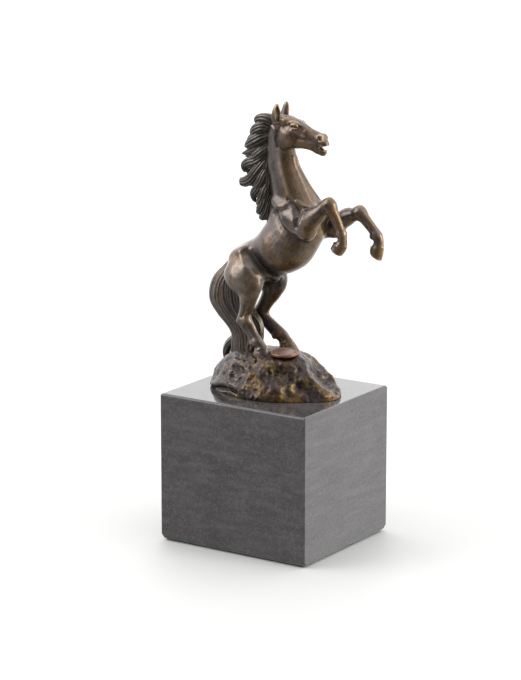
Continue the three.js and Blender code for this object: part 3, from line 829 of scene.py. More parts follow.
def tail_locks():
    """Strands that run down the tail side by side, each wandering a little, and one curled behind."""
    random = np.random.default_rng(11)
    form = np.array(TAIL_FORM)
    outer, inner, thick = form[:, 0:2], form[:, 2:4], form[:, 4]
    down = np.linspace(0, 1, len(form))
    locks = []
    for side, share in ((-1, 0.62), (1, 0.62), (-1, 0.1)):
        for u in np.linspace(0.06, 0.94, 8 if share > 0.5 else 6):
            sway = 0.05 * np.sin(random.uniform(2, 5) * down * np.pi + random.uniform(0, 6.3)) * down
            at = np.clip(u + sway, 0.02, 0.98)[:, None]
            place = outer + (inner - outer) * at
            width = np.linalg.norm(inner - outer, axis=1)
            depth = thick * np.sqrt(np.maximum(1 - (2 * at[:, 0] - 1) ** 2, 0.04))
            path = np.column_stack([place[:, 0], side * depth * share, place[:, 1]])
            radii = np.minimum(width / 9.5 * random.uniform(0.85, 1.25), 2.6) + 0.45
            locks.append((path, radii))
    curl = [(-24.5, 2, 27), (-27.6, 3.4, 23), (-31.6, 4.6, 19.6), (-34, 5.2, 15.4), (-35, 5.6, 11.4)]
    locks.append((np.array(curl, float), np.array([2, 2.4, 2.4, 2.2, 1.2])))
    return locks


def build_mane():
    """The near locks, and the far side's, which are mirrored and shifted a little."""
    clay = Clay(*MANE_BOX)
    near = [lock(path, radii, flat=0.7, ridges=9 + n % 3, depth=0.26, twist=0.35 * (-1) ** n)
            for n, (path, radii) in enumerate(MANE_LOCKS)]
    far = [lock([(x - 0.4, -y + 0.4, z - 1.2 + 1.6 * math.sin(2.4 * n)) for x, y, z in path], radii,
                flat=0.7, ridges=10, depth=0.26, twist=-0.35 * (-1) ** n)
           for n, (path, radii) in enumerate(MANE_LOCKS) if path[1][1] < -1]
    field = clay.from_skin(*near, *far)
    return clay, field, field


def build_tail():
    """All the tail's strands taken together."""
    clay = Clay(*TAIL_BOX)
    skins = [lock(path, radii, flat=0.8, ridges=7, twist=0.5 * (-1) ** n)
             for n, (path, radii) in enumerate(tail_locks())]
    field = clay.from_skin(*skins)
    return clay, field, field


# ---- craggy mound ----

MOUND_LOW, MOUND_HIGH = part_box("rock_mound")
MOUND_X = (MOUND_LOW.x + MOUND_HIGH.x) / 2 / MM
MOUND_RX = (MOUND_HIGH.x - MOUND_LOW.x) / 2 / MM - 1
MOUND_RY = (MOUND_HIGH.y - MOUND_LOW.y) / 2 / MM - 0.6
MOUND_HEIGHT = (MOUND_HIGH.z - TOP) / MM - 0.4

# Shares of the mound's height and radius: steep behind the horse, sloping in front of it.
RISE = [0, 0.14, 0.38, 0.6, 0.78, 0.9, 0.97, 1]
STEEP = [1, 1.02, 0.97, 0.88, 0.77, 0.62, 0.4, 0.12]
SLOPE = [1, 0.98, 0.88, 0.76, 0.64, 0.52, 0.36, 0.12]


def waves(clay, scale, seed):
    """Smooth random waves of about that size over the whole box of clay, from -1 to 1."""
    random = np.random.default_rng(seed)
    counts = [int(n * clay.step / scale) + 5 for n in clay.size]
    field = random.uniform(-1.7, 1.7, counts)
    for axis in range(3):
        at = np.arange(clay.size[axis]) * clay.step / scale + 1
        knot = np.floor(at).astype(int)
        t = at - knot
        weights = np.zeros((clay.size[axis], counts[axis]))
        rows = np.arange(clay.size[axis])
        for n, value in enumerate(((1 - t) ** 3, 3 * t ** 3 - 6 * t ** 2 + 4,
                                   -3 * t ** 3 + 3 * t ** 2 + 3 * t + 1, t ** 3)):
            weights[rows, knot + n - 1] += value / 6
        field = np.moveaxis(np.tensordot(weights, field, axes=(1, axis)), 0, axis)
    return field.astype(np.float32)


def dome_field(clay):
    """The mound's plain form: steep behind the horse, sloping in front of it."""
    turn = np.linspace(0, 2 * np.pi, 72, endpoint=False)
    lean = (1 + np.cos(turn)) / 2
    rings = []
    for up, steep, slope in zip(RISE, STEEP, SLOPE):
        share = steep + (slope - steep) * lean
        share = share * (1 + 0.03 * np.sin(3 * turn + 0.8) + 0.025 * np.sin(5 * turn + 2.1 + 2 * up))
        height = MOUND_HEIGHT * up if up > 0 else -1.5
        rings.append(np.stack([MOUND_X + MOUND_RX * share * np.cos(turn), MOUND_RY * share * np.sin(turn),
                               np.full(len(turn), height)], 1))
    return clay.from_skin(skin(np.array(rings)))


FACE_REACH = 16     # a struck face is worked out this far from its middle
FACE_FLAT = 4.5     # it is flat this far out
FACE_CURL = 0.07    # and then bends outward, by this times the square of the rest


def strike(clay, field, place, lean, depth):
    """Strikes a flat face off the rock near a place, leaning from the surface there, so deep."""
    place = np.array(place, float)
    for _ in range(3):
        probes = place + 1.5 * np.vstack([np.eye(3), -np.eye(3)])
        values = clay.sample(field, probes)
        out = values[:3] - values[3:]
        out = out / max(np.linalg.norm(out), TINY)
        place = place - out * clay.sample(field, place[None])[0]
    out = out + np.array(lean)
    out = out / np.linalg.norm(out)
    where, x, y, z = clay.near(place - FACE_REACH, place + FACE_REACH)
    x, y, z = x - place[0], y - place[1], z - place[2]
    past = np.maximum(np.sqrt(x ** 2 + y ** 2 + z ** 2) - FACE_FLAT, 0)
    face = x * out[0] + y * out[1] + z * out[2] + depth - FACE_CURL * past ** 2
    field[where] = smooth_max(field[where], face.astype(np.float32), 0.4)


# Raised and sunk lines of the rock: points on it, width, and height (negative where sunk).
ROCK_LINES = [
    ([(5.6, -14.4, 17.4), (7.2, -14.6, 17)], 4.6, 1.5),
    ([(-4.4, -11.1, 20.4), (-2.8, -13.2, 18.9), (-1.2, -14.9, 17.6), (0.4, -16.8, 15.6)], 1, -1.9),
    ([(13.6, -20, 6.2), (15, -19.8, 5.4)], 2.8, 1.4),
    ([(31.8, 4.4, 3), (32, 7, 2.4)], 3, 0.9),
    ([(25.2, -3.7, 12.5), (26.6, 2.6, 11.3), (26.5, 9.8, 8.1)], 1.4, 1),
    ([(13.4, -11.9, 16.8), (17.5, -11.4, 14.9), (21, -13.3, 10.1), (20.4, -16, 6)], 1.5, 1.1),
    ([(-31, -11.6, 1.9), (-28, -15.6, 2.4), (-19.2, -20, 5.3), (-12.2, -22, 5.3), (-5.8, -23.2, 4.6),
      (-3, -23.8, 2.6)], 1.4, 1.5),
    ([(-28, -16.4, 0.6), (-18.6, -21, 2.5), (-11.8, -22.6, 3.1), (-5.5, -23.7, 1.9)], 1.2, -1.7),
    ([(-18.8, -20.7, 0.8), (-12.9, -22.7, 1.6), (-9, -23.4, 0.8)], 0.8, 0.9),
    ([(-15, -14, 16.4), (-11, -16.3, 16.2), (-7.1, -17.1, 16), (-3.1, -15.5, 17.7)], 1.1, 1.1),
    ([(-13, -17.6, 13.6), (-9.2, -19, 12.8), (-4.8, -19.6, 12.6), (-2.6, -18.4, 14.4)], 1.5, -1),
    ([(22.6, -14, 8), (24.8, -13, 6.4)], 2.4, -1.5),
    ([(9, -17.6, 13), (11.4, -17, 13.4)], 2, -0.9),
    ([(-26, -15, 8.2), (-24.6, -15.2, 10.4)], 1.5, -1.1),
    ([(-20, -17.2, 10), (-18.6, -16.8, 12)], 1.7, -1.2),
    ([(-19.4, -15, 14), (-17.6, -15.4, 14.6)], 1.3, -1),
    ([(-13, -19.2, 10.6), (-11.8, -19.2, 12)], 1.6, -1),
    ([(-23, -12.6, 14.4), (-22.4, -15.6, 10.4), (-21.4, -18.2, 6.6)], 1.2, 0.9),
    ([(-16.2, -15.6, 14.8), (-15.6, -18.2, 10.6), (-16.4, -20, 7)], 1.2, 0.8),
    ([(17, -6, 18), (20.6, -5, 16), (24, -6.6, 12)], 1.3, 0.8),
    ([(12, 0, 21), (17, 1, 19.4), (21, 2, 17)], 2.2, 1),
]
# Faces struck at given places: the place, the lean and the depth.
ROCK_FACES = [
    ((30.4, -7.5, 4.5), (0, 0, 0.1), 0.7), ((28.9, -1.9, 8.8), (0.1, 0, 0), 0.5),
    ((15.4, -10.2, 17), (0, 0, 0.1), 0.4), ((21, -2, 16.6), (0, 0, 0), 0.4),
    ((-8, -20.4, 9.4), (0, 0, 0), 0.5), ((3, -22.8, 6), (0, 0, 0.1), 0.6),
    ((24, -14.6, 3), (0, 0, 0.1), 0.5),
]
RANDOM_FACES = 70


def build_mound():
    """The dome, struck into faces, with its ridges and hollows and finer and finer random relief."""
    out_x, out_y = MOUND_RX + 4, MOUND_RY + 4
    clay = Clay((MOUND_X - out_x, -out_y, -2), (MOUND_X + out_x, out_y, 28), 0.3)
    random = np.random.default_rng(7)
    x, y, z = clay.everywhere()
    rock = dome_field(clay) - 0.4
    for _ in range(RANDOM_FACES):
        turn = random.uniform(0, 2 * np.pi)
        rise = random.uniform(0.05, 1) ** 0.8
        front = (1 + math.cos(turn)) / 2
        share = np.interp(rise, RISE, [a + (b - a) * front for a, b in zip(STEEP, SLOPE)])
        place = (MOUND_X + MOUND_RX * share * math.cos(turn), MOUND_RY * share * math.sin(turn),
                 MOUND_HEIGHT * rise)
        strike(clay, rock, place, random.normal(0, 0.09, 3), random.uniform(0, 0.55))
    for place, lean, depth in ROCK_FACES:
        strike(clay, rock, place, lean, depth)
    stance(clay, rock)
    for line, width, height in ROCK_LINES:
        Flank(clay, rock).swell(line, width, height)
    rough = np.clip(0.4 + waves(clay, 9, 6) + np.clip((-6 - x) / 16, 0, 0.6), 0.35, 1)
    folds = 0.5 - np.abs(waves(clay, 6, 1)) * 2.2
    field = rock - np.clip(folds, -0.4, 0.5) * 0.7 * rough
    for scale, seed in ((2.8, 2), (1.5, 5)):
        field = field + (np.abs(waves(clay, scale, seed)) * 0.8 - 0.2) * rough
    field = field + np.maximum(waves(clay, 1.5, 4) - 0.25, 0) * 0.6 * rough
    field = field + waves(clay, 0.9, 3) * (0.1 + 0.16 * rough)
    return clay, field, smooth_max(field, -(z + 0.05) * np.ones_like(field), 0.3)


def stance(clay, field):
    """Ground pressed up to the two hind hooves, the tail and the seal."""
    for name in ("right_hind_leg", "left_hind_leg"):
        sole = station(LEGS[name], -1)[2]
        Flank(clay, field, side_of(name)).press(Ball(sole - (0, 0, 2.6), (7, 5, 3), (0.98, 0.12)), 2.5)
    middle = Flank(clay, field)
    middle.press(Ball((-19, 0, 14.6), (8.5, 6.5, 3.6)), 3.5)
    x, y, z = SEAL_PLACE
    middle.press(Ball((x + 1, y + 0.6, z - SEAL_THICKNESS / 2 - 5), (9.8, 8.6, 5.2)), 5)


# ---- meshes ----

def in_scene(name, data):
    """A new object with that data."""
    made = bpy.data.objects.new(name, data)
    bpy.context.scene.collection.objects.link(made)
    return made


def smooth_piece(name, points, faces):
    """A smoothly shaded mesh in the scene."""
    mesh = bpy.data.meshes.new(name)
    mesh.from_pydata(points, [], faces)
    mesh.update()
    mesh.polygons.foreach_set("use_smooth", [True] * len(mesh.polygons))
    return in_scene(name, mesh)


def store(piece, name, values):
    """Keeps a value for each point, for the material to read."""
    attribute = piece.data.attributes.new(name, "FLOAT", "POINT")
    attribute.data.foreach_set("value", values.astype(np.float32))


def largest_shell(points, quads):
    """The points and quads of the largest connected surface."""
    label = np.arange(len(points))
    while True:
        low = label[quads].min(1)
        new = label.copy()
        np.minimum.at(new, quads.ravel(), np.repeat(low, 4))
        new = new[new]
        if np.array_equal(new, label):
            break
        label = new
    roots, sizes = np.unique(label[quads[:, 0]], return_counts=True)
    kept = quads[label[quads[:, 0]] == roots[sizes.argmax()]]
    used = np.unique(kept)
    index = np.zeros(len(points), int)
    index[used] = np.arange(len(used))
    return points[used], index[kept]


# The average distance to the surface within a radius of a point, as a share of that radius, with far
# distances capped: above zero on ridges and below it in hollows, where the bronze paints shade.
REACHES = (("relief", 0.5, 0.9), ("hollow", 1.8, 3), ("valley", 4.5, 7))


def bronze_piece(name, sculpture, material, node):
    """Turns a sculpted casting into a piece that stands for its CAD node."""
    clay, whole, field = sculpture
    points, quads = largest_shell(*clay.to_mesh(field))
    piece = smooth_piece(name, points * MM + np.array([0, 0, TOP]), quads[:, ::-1].tolist())
    for label, radius, cap in REACHES:
        cells = max(1, int(round(radius / clay.step)))
        store(piece, label, clay.sample(blurred(np.clip(whole, -cap, cap), cells), points) / radius)
    piece.data.materials.append(material)
    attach(piece, "root")
    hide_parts(node)


# ---- seal disc, stone block and felt ----

SEAL_PLACE = (10.6, -6, 22.6)
SEAL_RADIUS = 8
SEAL_THICKNESS = 1.6
SEAL_TILT = math.radians(3)
SEAL_RIM = 6.6          # inner radius of the rim
BEAD_RING = 5.7
BEADS = 36
DOME_RADIUS = 4.2


def build_seal():
    """A struck disc: a worn raised rim, a ring of small beads inside it and a slightly domed middle."""
    middle = np.array(SEAL_PLACE)
    half = np.array((SEAL_RADIUS + 1, SEAL_RADIUS + 1, SEAL_THICKNESS * 1.5))
    clay = Clay(middle - half, middle + half, 0.13)
    x, y, z = clay.everywhere()
    x, y, z = x - middle[0], y - middle[1], z - middle[2]
    up = z * math.cos(SEAL_TILT) - y * math.sin(SEAL_TILT)
    across = y * math.cos(SEAL_TILT) + z * math.sin(SEAL_TILT)
    out = np.sqrt(x ** 2 + across ** 2)
    turn = np.arctan2(across, x)
    edge = out - SEAL_RADIUS + 0.12 + 0.08 * np.cos(3 * turn + 1) + 0.05 * np.cos(7 * turn)
    rim = 0.32 * np.clip((out - SEAL_RIM) / 0.5, 0, 1) * np.clip((SEAL_RADIUS - out) / 0.4, 0, 1)
    beads = 0.2 * np.exp(-((out - BEAD_RING) / 0.3) ** 2) * (0.5 + 0.5 * np.cos(BEADS * turn))
    dome = 0.22 * np.clip(1 - (out / DOME_RADIUS) ** 2, 0, 1)
    face = rim + beads + dome + waves(clay, 1.4, 11) * 0.1
    field = smooth_max(edge, np.abs(up) - SEAL_THICKNESS / 2 + 0.35 - face, 0.35).astype(np.float32)
    return clay, field, field


def chip(form, place, out, depth):
    """Knocks a corner off: everything past a plane goes, and the cut is closed."""
    out = Vector(out).normalized()
    made = bmesh.ops.bisect_plane(form, geom=form.verts[:] + form.edges[:] + form.faces[:],
                                  plane_co=place - out * depth, plane_no=out, clear_outer=True)
    cut = [part for part in made["geom_cut"] if isinstance(part, bmesh.types.BMEdge)]
    bmesh.ops.holes_fill(form, edges=cut)


def flat_piece(form, name, material):
    """The editable mesh as a piece with that material."""
    mesh = bpy.data.meshes.new(name)
    bmesh.ops.recalc_face_normals(form, faces=form.faces[:])
    form.to_mesh(mesh)
    form.free()
    mesh.materials.append(material)
    piece = in_scene(name, mesh)
    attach(piece, "root")
    return piece


# The block's chipped corners: the way that each one points, and how deep its chip is.
CHIPS = [
    ((-1, -0.8, -0.9), 1.5),
    ((0.7, -0.9, -1), 1.4),
    ((1, 0.7, -1), 1.5),
    ((1, -1, 0.9), 0.9),
    ((-1, 0.8, 1), 1),
]


def sides_of(edge, middle, half):
    """How many of the block's six sides an edge lies on."""
    at = (edge.verts[0].co + edge.verts[1].co) / 2 - middle
    return sum(abs(at[n]) > half[n] - 2.5 * MM for n in range(3))


def build_block(material):
    """The CAD solid with its bores, its outer edges eased and a few corners chipped."""
    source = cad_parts["stone_block"]
    form = bmesh.new()
    form.from_mesh(source.data)
    bmesh.ops.transform(form, matrix=source.matrix_world, verts=form.verts[:])
    bmesh.ops.remove_doubles(form, verts=form.verts[:], dist=0.01 * MM)
    bmesh.ops.dissolve_limit(form, angle_limit=math.radians(1), verts=form.verts[:],
                             edges=form.edges[:])
    middle = (BLOCK_LOW + BLOCK_HIGH) / 2
    half = (BLOCK_HIGH - BLOCK_LOW) / 2
    for out, depth in CHIPS:
        corner = Vector(middle[n] + math.copysign(half[n], out[n]) for n in range(3))
        chip(form, corner, out, depth * MM)
    outer = [edge for edge in form.edges if edge.is_manifold and edge.calc_face_angle() > 0.2
             and sides_of(edge, middle, half) > 1]
    bmesh.ops.bevel(form, geom=outer, offset=0.28 * MM, segments=3, profile=0.5, affect="EDGES")
    piece = flat_piece(form, "polished_block", material)
    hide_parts("stone_block")


FRAY = 0.35     # how far the felt's edge is pulled in at most


def build_felt(material):
    """A cut sheet of felt: two slightly uneven faces and a frayed edge."""
    low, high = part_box("felt_pad")
    size = high - low
    random = np.random.default_rng(3)
    form = bmesh.new()
    bmesh.ops.create_grid(form, x_segments=64, y_segments=56, size=0.5)
    middle = (low + high) / 2
    for point in form.verts:
        at_edge = max(abs(point.co.x), abs(point.co.y)) > 0.499
        pull = 1 - (random.uniform(0, FRAY) * MM / size.x * 2 if at_edge else 0)
        point.co = Vector((middle.x + point.co.x * size.x * pull, middle.y + point.co.y * size.y * pull,
                           low.z + random.uniform(0, 0.06) * MM))
    made = bmesh.ops.extrude_face_region(form, geom=form.faces[:], use_keep_orig=True)
    for part in made["geom"]:
        if isinstance(part, bmesh.types.BMVert):
            part.co.z = high.z - random.uniform(0, 0.05) * MM
    piece = flat_piece(form, "felt_sheet", material)
    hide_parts("felt_pad")


# ---- materials ----

class Shader:
    """A node material under construction."""

    def __init__(self, name):
        self.material = bpy.data.materials.new(name)
        self.material.use_nodes = True
        self.tree = self.material.node_tree
        self.tree.nodes.clear()
        output = self.tree.nodes.new("ShaderNodeOutputMaterial")
        self.surface = self.tree.nodes.new("ShaderNodeBsdfPrincipled")
        self.tree.links.new(self.surface.outputs[0], output.inputs["Surface"])
        where = self.node("ShaderNodeTexCoord")
        self.place = where.outputs["Object"]
        self.facing = where.outputs["Normal"]

    def node(self, kind, inputs=None, **settings):
        """A node of a kind, with what its inputs are fed and its own settings."""
        made = self.tree.nodes.new(kind)
        for key, value in settings.items():
            setattr(made, key, value)
        for key, value in (inputs or {}).items():
            self.feed(made.inputs[key], value)
        return made

    def feed(self, socket, value):
        """Joins a socket to another or sets it. A colour is given as its red, green and blue."""
        if isinstance(value, bpy.types.NodeSocket):
            self.tree.links.new(value, socket)
        elif socket.type == "RGBA":
            socket.default_value = (*value, 1)
        else:
            socket.default_value = value

    def noise(self, size, detail=3, roughness=0.55, stretch=None):
        """Noise whose waves are about size millimetres."""
        place = self.place
        if stretch:
            place = self.node("ShaderNodeMapping", {"Vector": place, "Scale": stretch}).outputs[0]
        made = self.node("ShaderNodeTexNoise", {"Vector": place, "Scale": 1 / (size * MM),
                                                "Detail": detail, "Roughness": roughness})
        return made.outputs["Fac"]

    def towards(self, direction, vector=None):
        """How far the surface faces a direction, or how far a vector reaches along it."""
        made = self.node("ShaderNodeVectorMath", operation="DOT_PRODUCT")
        self.feed(made.inputs[0], vector or self.facing)
        made.inputs[1].default_value = direction
        return made.outputs["Value"]

    def ramp(self, value, low, high, start=0, end=1):
        """Runs from start to end as the value goes from low to high."""
        made = self.node("ShaderNodeMapRange", {"Value": value, "From Min": low, "From Max": high,
                                                "To Min": start, "To Max": end})
        return made.outputs[0]

    def mix(self, amount, a, b):
        """Colour a, going over to colour b by the amount."""
        made = self.node("ShaderNodeMix", data_type="RGBA")
        self.feed(made.inputs[0], amount)
        self.feed(made.inputs[6], a)
        self.feed(made.inputs[7], b)
        return made.outputs[2]

    def math(self, operation, a, b):
        made = self.node("ShaderNodeMath", operation=operation)
        self.feed(made.inputs[0], a)
        self.feed(made.inputs[1], b)
        return made.outputs[0]

    def attribute(self, name):
        """A value kept for each point by store()."""
        return self.node("ShaderNodeAttribute", attribute_name=name).outputs["Fac"]

    def bump(self, height, distance):
        """Relief of the surface, distance millimetres high."""
        made = self.node("ShaderNodeBump", {"Height": height, "Distance": distance * MM, "Strength": 1})
        self.feed(self.surface.inputs["Normal"], made.outputs[0])

    def set(self, **values):
        """Feeds the surface's inputs, named with _ for each space."""
        for key, value in values.items():
            self.feed(self.surface.inputs[key.replace("_", " ")], value)


def bronze(name, dark, mid, warm, edge, rough=0.31, grain=0.02, worn=0.55, grey=None, deep=0.5,
           coat=0.4, tints=(), blotch=None):
    """Patinated bronze: mottled brown, with a painted golden sheen where it faces forward and down,
    painted shade near black in recesses, rubbed to metal on ridges. A painted grey sheen lies towards
    the tail end, blotches lie all over where they are given, and each tint, some of them painted
    shade or a painted highlight, lies where all of its spans hold: a direction, and how far along it
    the tint starts and is full."""
    s = Shader(name)
    cloud = s.ramp(s.noise(13, 3), 0.35, 0.65, -0.55, 0.65)
    # Painted sheen: faces turned forward and down are painted golden, as light from the right and below
    # shows them; the cloud adds random tone.
    facing_sheen_and_cloud = s.math("ADD", s.ramp(s.towards((0.75, 0, -0.6)), -0.1, 0.7), cloud)
    color = s.mix(facing_sheen_and_cloud, mid, warm)
    for tint, spans in tints:
        share = 0.9
        for direction, start, stop in spans:
            share = s.math("MULTIPLY", s.ramp(s.towards(direction, s.place), start, stop), share)
        color = s.mix(share, color, tint)
    if grey:
        # Painted sheen: grey towards the tail end, as a reflection of the bright studio shows it there,
        # broken up by noise.
        tailward = s.ramp(s.towards((1, 0, 0), s.place), -0.004, -0.018)
        grey_sheen = s.math("ADD", tailward, s.ramp(s.noise(7, 3), 0.4, 0.62, -0.35, 0.35))
        color = s.mix(grey_sheen, color, grey)
    if blotch:
        color = s.mix(s.ramp(s.noise(8, 3), 0.5, 0.6, 0, 0.85), color, blotch)
    mottle = s.ramp(s.noise(4, 5, 0.65), 0.42, 0.68)
    color = s.mix(s.math("MULTIPLY", mottle, 0.6), color, dark)
    specks = s.ramp(s.noise(1.2, 4, 0.7), 0.5, 0.72, 0, 0.5)
    color = s.mix(specks, color, dark)
    # Painted shade: near black in broad valleys, in hollows (as dark as deep sets) and in fine creases,
    # where shade falls.
    color = s.mix(s.ramp(s.attribute("valley"), -0.05, -0.45, 0, 0.8), color, dark)
    color = s.mix(s.ramp(s.attribute("hollow"), -0.02, -deep, 0, 0.94), color, dark)
    relief = s.attribute("relief")
    color = s.mix(s.ramp(relief, -0.02, -0.3, 0, 0.92), color, dark)
    rubbed = s.math("MULTIPLY", s.ramp(relief, 0.08, 0.5, 0, worn),
                    s.ramp(s.noise(1.6, 3), 0.3, 0.6, 0.3, 1))
    color = s.mix(rubbed, color, edge)
    s.set(Base_Color=color, Metallic=0.8, IOR=1.6, Coat_Weight=coat, Coat_Roughness=0.25, Coat_IOR=1.6,
          Roughness=s.ramp(s.noise(5, 4), 0.3, 0.7, rough - 0.05, rough + 0.1))
    s.bump(s.noise(0.9, 4), grain)
    return s.material


def black_stone():
    """Dark marble: faint level layers, grain and pale specks; polished on top, honed on its sides."""
    s = Shader("black_stone")
    fine = s.noise(0.7, 4, 0.7)
    cells = s.node("ShaderNodeTexVoronoi", {"Vector": s.place, "Scale": 1 / (0.9 * MM)})
    color = s.mix(s.ramp(s.noise(18, 4), 0.3, 0.7), (0.021, 0.0185, 0.0195), (0.038, 0.0345, 0.0345))
    layers = s.noise(3.4, 5, 0.65, stretch=(0.2, 0.2, 1))
    color = s.mix(s.ramp(layers, 0.46, 0.66, 0, 0.45), color, (0.078, 0.073, 0.073))
    color = s.mix(s.ramp(s.noise(1.5, 3, 0.6), 0.5, 0.68, 0, 0.5), color, (0.094, 0.088, 0.087))
    color = s.mix(s.ramp(fine, 0.5, 0.75), color, (0.1, 0.094, 0.092))
    color = s.mix(s.ramp(cells.outputs["Distance"], 0.12, 0.02, 0, 0.5), color, (0.19, 0.18, 0.175))
    normal = s.node("ShaderNodeNewGeometry").outputs["Normal"]
    up = s.node("ShaderNodeSeparateXYZ", {"Vector": normal}).outputs[2]
    scratch = s.noise(2.4, 2, 0.5, stretch=(0.1, 0.1, 1))
    honed = s.math("ADD", s.ramp(fine, 0.3, 0.7, 0.3, 0.42), s.ramp(scratch, 0.6, 0.72, 0, 0.12))
    rough = s.node("ShaderNodeMix", {0: s.ramp(up, 0.9, 0.99), 2: honed, 3: 0.06}, data_type="FLOAT")
    s.set(Base_Color=color, Roughness=rough.outputs[0], IOR=1.55)
    s.bump(s.math("MULTIPLY", fine, s.ramp(up, 0.99, 0.9)), 0.03)
    return s.material


def steel():
    """Zinc-plated steel, brushed."""
    s = Shader("zinc_steel")
    brushed = s.noise(0.5, 3, stretch=(1, 1, 12))
    s.set(Base_Color=s.mix(brushed, (0.35, 0.35, 0.36), (0.55, 0.55, 0.57)), Metallic=1,
          Roughness=s.ramp(brushed, 0.3, 0.7, 0.28, 0.45))
    s.bump(brushed, 0.01)
    return s.material


def felt():
    """Green wool felt."""
    s = Shader("green_felt")
    fibre = s.noise(0.35, 5, 0.7)
    s.set(Base_Color=s.mix(fibre, (0.01, 0.03, 0.016), (0.035, 0.08, 0.045)), Roughness=0.95,
          Sheen_Weight=0.5)
    s.bump(fibre, 0.12)
    return s.material


# Parts of the object that a tint covers: directions, each with the two metres between which it sets in.
NECK_SIDE = [((1, 0, 0.2), 0.0455, 0.0495), ((0, 0, -1), -0.214, -0.206), ((0, 0, 1), 0.179, 0.188)]
# Painted shade: a darker purple-grey tint over the crest of the neck.
CREST_SHADE = [((-1, 0, -0.2), -0.0495, -0.0455), ((0, 0, -1), -0.222, -0.21), ((0, 0, 1), 0.174, 0.184)]
# Painted shade: a near-black tint between the hind legs and under the belly.
GROIN_SHADE = [((1, 0, 0), -0.008, 0), ((-1, 0, 0), -0.016, -0.009), ((0, 0, -1), -0.1455, -0.1405),
         ((0, 0, 1), 0.13, 0.136)]
# Painted shade: a near-black band down the flank hollow in front of the thigh.
FLANK = [((0.676, 0, 0.737), 0.1035, 0.107), ((-0.676, 0, -0.737), -0.1125, -0.1085),
         ((0.737, 0, -0.676), -0.111, -0.105), ((0, 0, 1), 0.13, 0.136)]
# Painted highlight: a pale tint over the near side of the haunch and thigh.
HAUNCH_HIGHLIGHT = [((1, 0, 0), -0.024, -0.016), ((-1, 0, 0), 0.001, 0.009), ((0, 0, 1), 0.116, 0.128),
          ((0, 0, -1), -0.149, -0.14), ((0, -1, 0), 0, 0.006)]
# Painted shade: a near-black tint over the mane and the top of the tail near the croup.
MANE_AND_TAIL_FRONT_SHADE = [((1, 0, 0), -0.0305, -0.025), ((0, 0, 1), 0.11, 0.122)]

DARK = (0.008, 0.006, 0.005)
# The horse's tints on the crest, groin and flank are painted shade, and the pale one on the haunch is a
# painted highlight.
HORSE = bronze(
    "horse_bronze", DARK, (0.105, 0.078, 0.068), (0.16, 0.088, 0.03), (0.5, 0.36, 0.2), worn=0.75,
    tints=[((0.09, 0.049, 0.018), NECK_SIDE), ((0.062, 0.045, 0.042), CREST_SHADE), ((0.018, 0.013, 0.01), GROIN_SHADE),
           ((0.022, 0.016, 0.013), FLANK), ((0.2, 0.155, 0.115), HAUNCH_HIGHLIGHT)],
)
# The hair's tint is painted shade over the mane and the top of the tail.
HAIR = bronze(
    "hair_bronze", DARK, (0.06, 0.045, 0.036), (0.085, 0.056, 0.033), (0.36, 0.28, 0.19), rough=0.34,
    deep=0.3, tints=[((0.014, 0.011, 0.01), MANE_AND_TAIL_FRONT_SHADE)],
)
ROCK = bronze(
    "mound_bronze", DARK, (0.036, 0.022, 0.02), (0.11, 0.06, 0.011), (0.42, 0.3, 0.15), rough=0.36,
    grain=0.22, worn=0.5, grey=(0.07, 0.057, 0.057), coat=0.12, blotch=(0.026, 0.017, 0.019),
)
SEAL = bronze(
    "seal_bronze", (0.04, 0.02, 0.015), (0.122, 0.053, 0.031), (0.14, 0.063, 0.034), (0.34, 0.18, 0.11),
    rough=0.42, coat=0.1,
)


# ---- pieces ----

bronze_piece("mound_rock", build_mound(), ROCK, "rock_mound")
bronze_piece("horse_trunk", build_trunk(), HORSE, "trunk")
bronze_piece("horse_head_and_neck", build_head(), HORSE, "head_and_neck")
for leg in LEGS:
    bronze_piece("horse_" + leg, build_leg(leg), HORSE, leg)
bronze_piece("horse_mane", build_mane(), HAIR, "mane")
bronze_piece("horse_tail", build_tail(), HAIR, "tail")
bronze_piece("seal", build_seal(), SEAL, "seal_disc")
build_block(black_stone())
build_felt(felt())

for node in ("clamp_bolt", "clamp_washer", "right_hoof_stud", "left_hoof_stud"):
    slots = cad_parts[node].data.materials
    slots.clear()
    slots.append(steel())


# ---- floor, light and camera ----

FLOOR_HALF = 3


def floor():
    """A pale floor that grows brighter away from the object, as a lit sweep does."""
    mesh = bpy.data.meshes.new("floor")
    corners = [(x * FLOOR_HALF, y * FLOOR_HALF, 0) for x, y in ((-1, -1), (1, -1), (1, 1), (-1, 1))]
    mesh.from_pydata(corners, [], [(0, 1, 2, 3)])
    made = in_scene("floor", mesh)
    made.visible_glossy = False
    s = Shader("studio_floor")
    away = s.node("ShaderNodeVectorMath", {"Vector": s.place}, operation="LENGTH").outputs["Value"]
    near = s.mix(s.noise(40, 2), (0.475, 0.475, 0.467), (0.485, 0.485, 0.477))
    s.set(Base_Color=s.mix(s.ramp(away, 0.4, 2.2), near, (0.8, 0.8, 0.8)), Roughness=0.6)
    mesh.materials.append(s.material)


VIEW_AZIMUTH = math.radians(33.72)
VIEW_PITCH = math.radians(13.73)
CAMERA_PLACE = Vector((0.8284, -1.2544, 0.4739))
LENS = 156.7

# What shines or shades in the studio round the object: a direction, the two cosines from it between
# which the strength changes, and the strength before the first and past the second.
GLOWS = [
    ((0.6, 0.76, 0.15), -0.55, 0.45, 0.68, 2.7),        # wall behind and to the right
    ((-0.55, -0.25, 0.8), 0.6, 0.97, 0, 1.6),           # soft box overhead
    ((-0.97, 0.2, 0.1), 0.72, 0.98, 0, 1),              # panel behind the tail
    ((-0.45, -0.5, -0.74), 0.74, 0.97, 0, 0.7),         # light thrown up by the floor
]
SHADES = [
    ((math.sin(VIEW_AZIMUTH), -math.cos(VIEW_AZIMUTH), 0.12), 0.45, 0.9, 1, 0.4),   # room in front
    ((0, 0, -1), 0.18, 0.6, 1, 0.5),                                                # ground
]


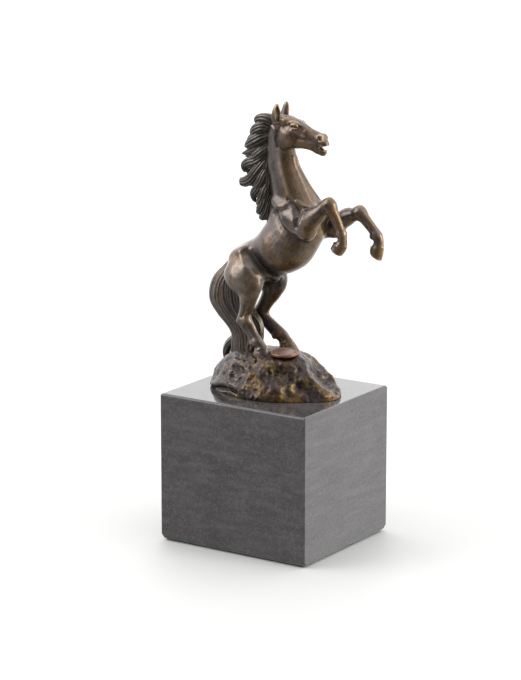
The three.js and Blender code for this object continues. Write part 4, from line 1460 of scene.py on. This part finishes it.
def studio_light():
    """A white studio, brighter behind and on both sides and darker in front; white where it is seen."""
    world = bpy.data.worlds.new("studio")
    bpy.context.scene.world = world
    world.use_nodes = True
    tree = world.node_tree
    tree.nodes.clear()
    link = tree.links.new

    def node(kind, **settings):
        made = tree.nodes.new(kind)
        for key, value in settings.items():
            setattr(made, key, value)
        return made

    def lobe(direction, start, stop, low, high):
        """A strength that goes from low to high towards a direction."""
        dot = node("ShaderNodeVectorMath", operation="DOT_PRODUCT")
        dot.inputs[1].default_value = Vector(direction).normalized()
        link(sky.outputs["Generated"], dot.inputs[0])
        strength = node("ShaderNodeMapRange", interpolation_type="SMOOTHSTEP")
        for name, value in (("From Min", start), ("From Max", stop), ("To Min", low), ("To Max", high)):
            strength.inputs[name].default_value = value
        link(dot.outputs["Value"], strength.inputs["Value"])
        return strength.outputs[0]

    def join(operation, a, b):
        made = node("ShaderNodeMath", operation=operation)
        link(a, made.inputs[0])
        link(b, made.inputs[1])
        return made.outputs[0]

    sky = node("ShaderNodeTexCoord")
    total = lobe(*GLOWS[0])
    for glow in GLOWS[1:]:
        total = join("ADD", total, lobe(*glow))
    for shade in SHADES:
        total = join("MULTIPLY", total, lobe(*shade))
    seen = node("ShaderNodeLightPath")
    pick = node("ShaderNodeMix", data_type="FLOAT")
    link(seen.outputs["Is Camera Ray"], pick.inputs[0])
    link(total, pick.inputs[2])
    pick.inputs[3].default_value = 1
    back = node("ShaderNodeBackground")
    link(pick.outputs[0], back.inputs["Strength"])
    link(back.outputs[0], node("ShaderNodeOutputWorld").inputs[0])


def area(name, place, target, size, power):
    """A rectangular light that points at a target."""
    light = bpy.data.lights.new(name, "AREA")
    light.shape = "RECTANGLE"
    light.size, light.size_y = size
    light.energy = power
    made = in_scene(name, light)
    made.location = place
    made.rotation_euler = (Vector(place) - Vector(target)).to_track_quat("Z", "Y").to_euler()


def camera():
    data = bpy.data.cameras.new("camera")
    data.lens = LENS
    data.sensor_width = 36
    data.clip_start, data.clip_end = 0.05, 20
    made = in_scene("camera", data)
    made.location = CAMERA_PLACE
    made.rotation_euler = (math.pi / 2 - VIEW_PITCH, 0, VIEW_AZIMUTH)
    bpy.context.scene.camera = made


floor()
studio_light()
area("key", (-0.8, -0.75, 0.7), target=(0, 0, 0.15), size=(0.8, 0.8), power=9)
area("side", (1.1, 0.2, 0.45), target=(0, 0, 0.12), size=(0.3, 0.6), power=6)
camera()
bpy.context.scene.view_settings.view_transform = "Standard"
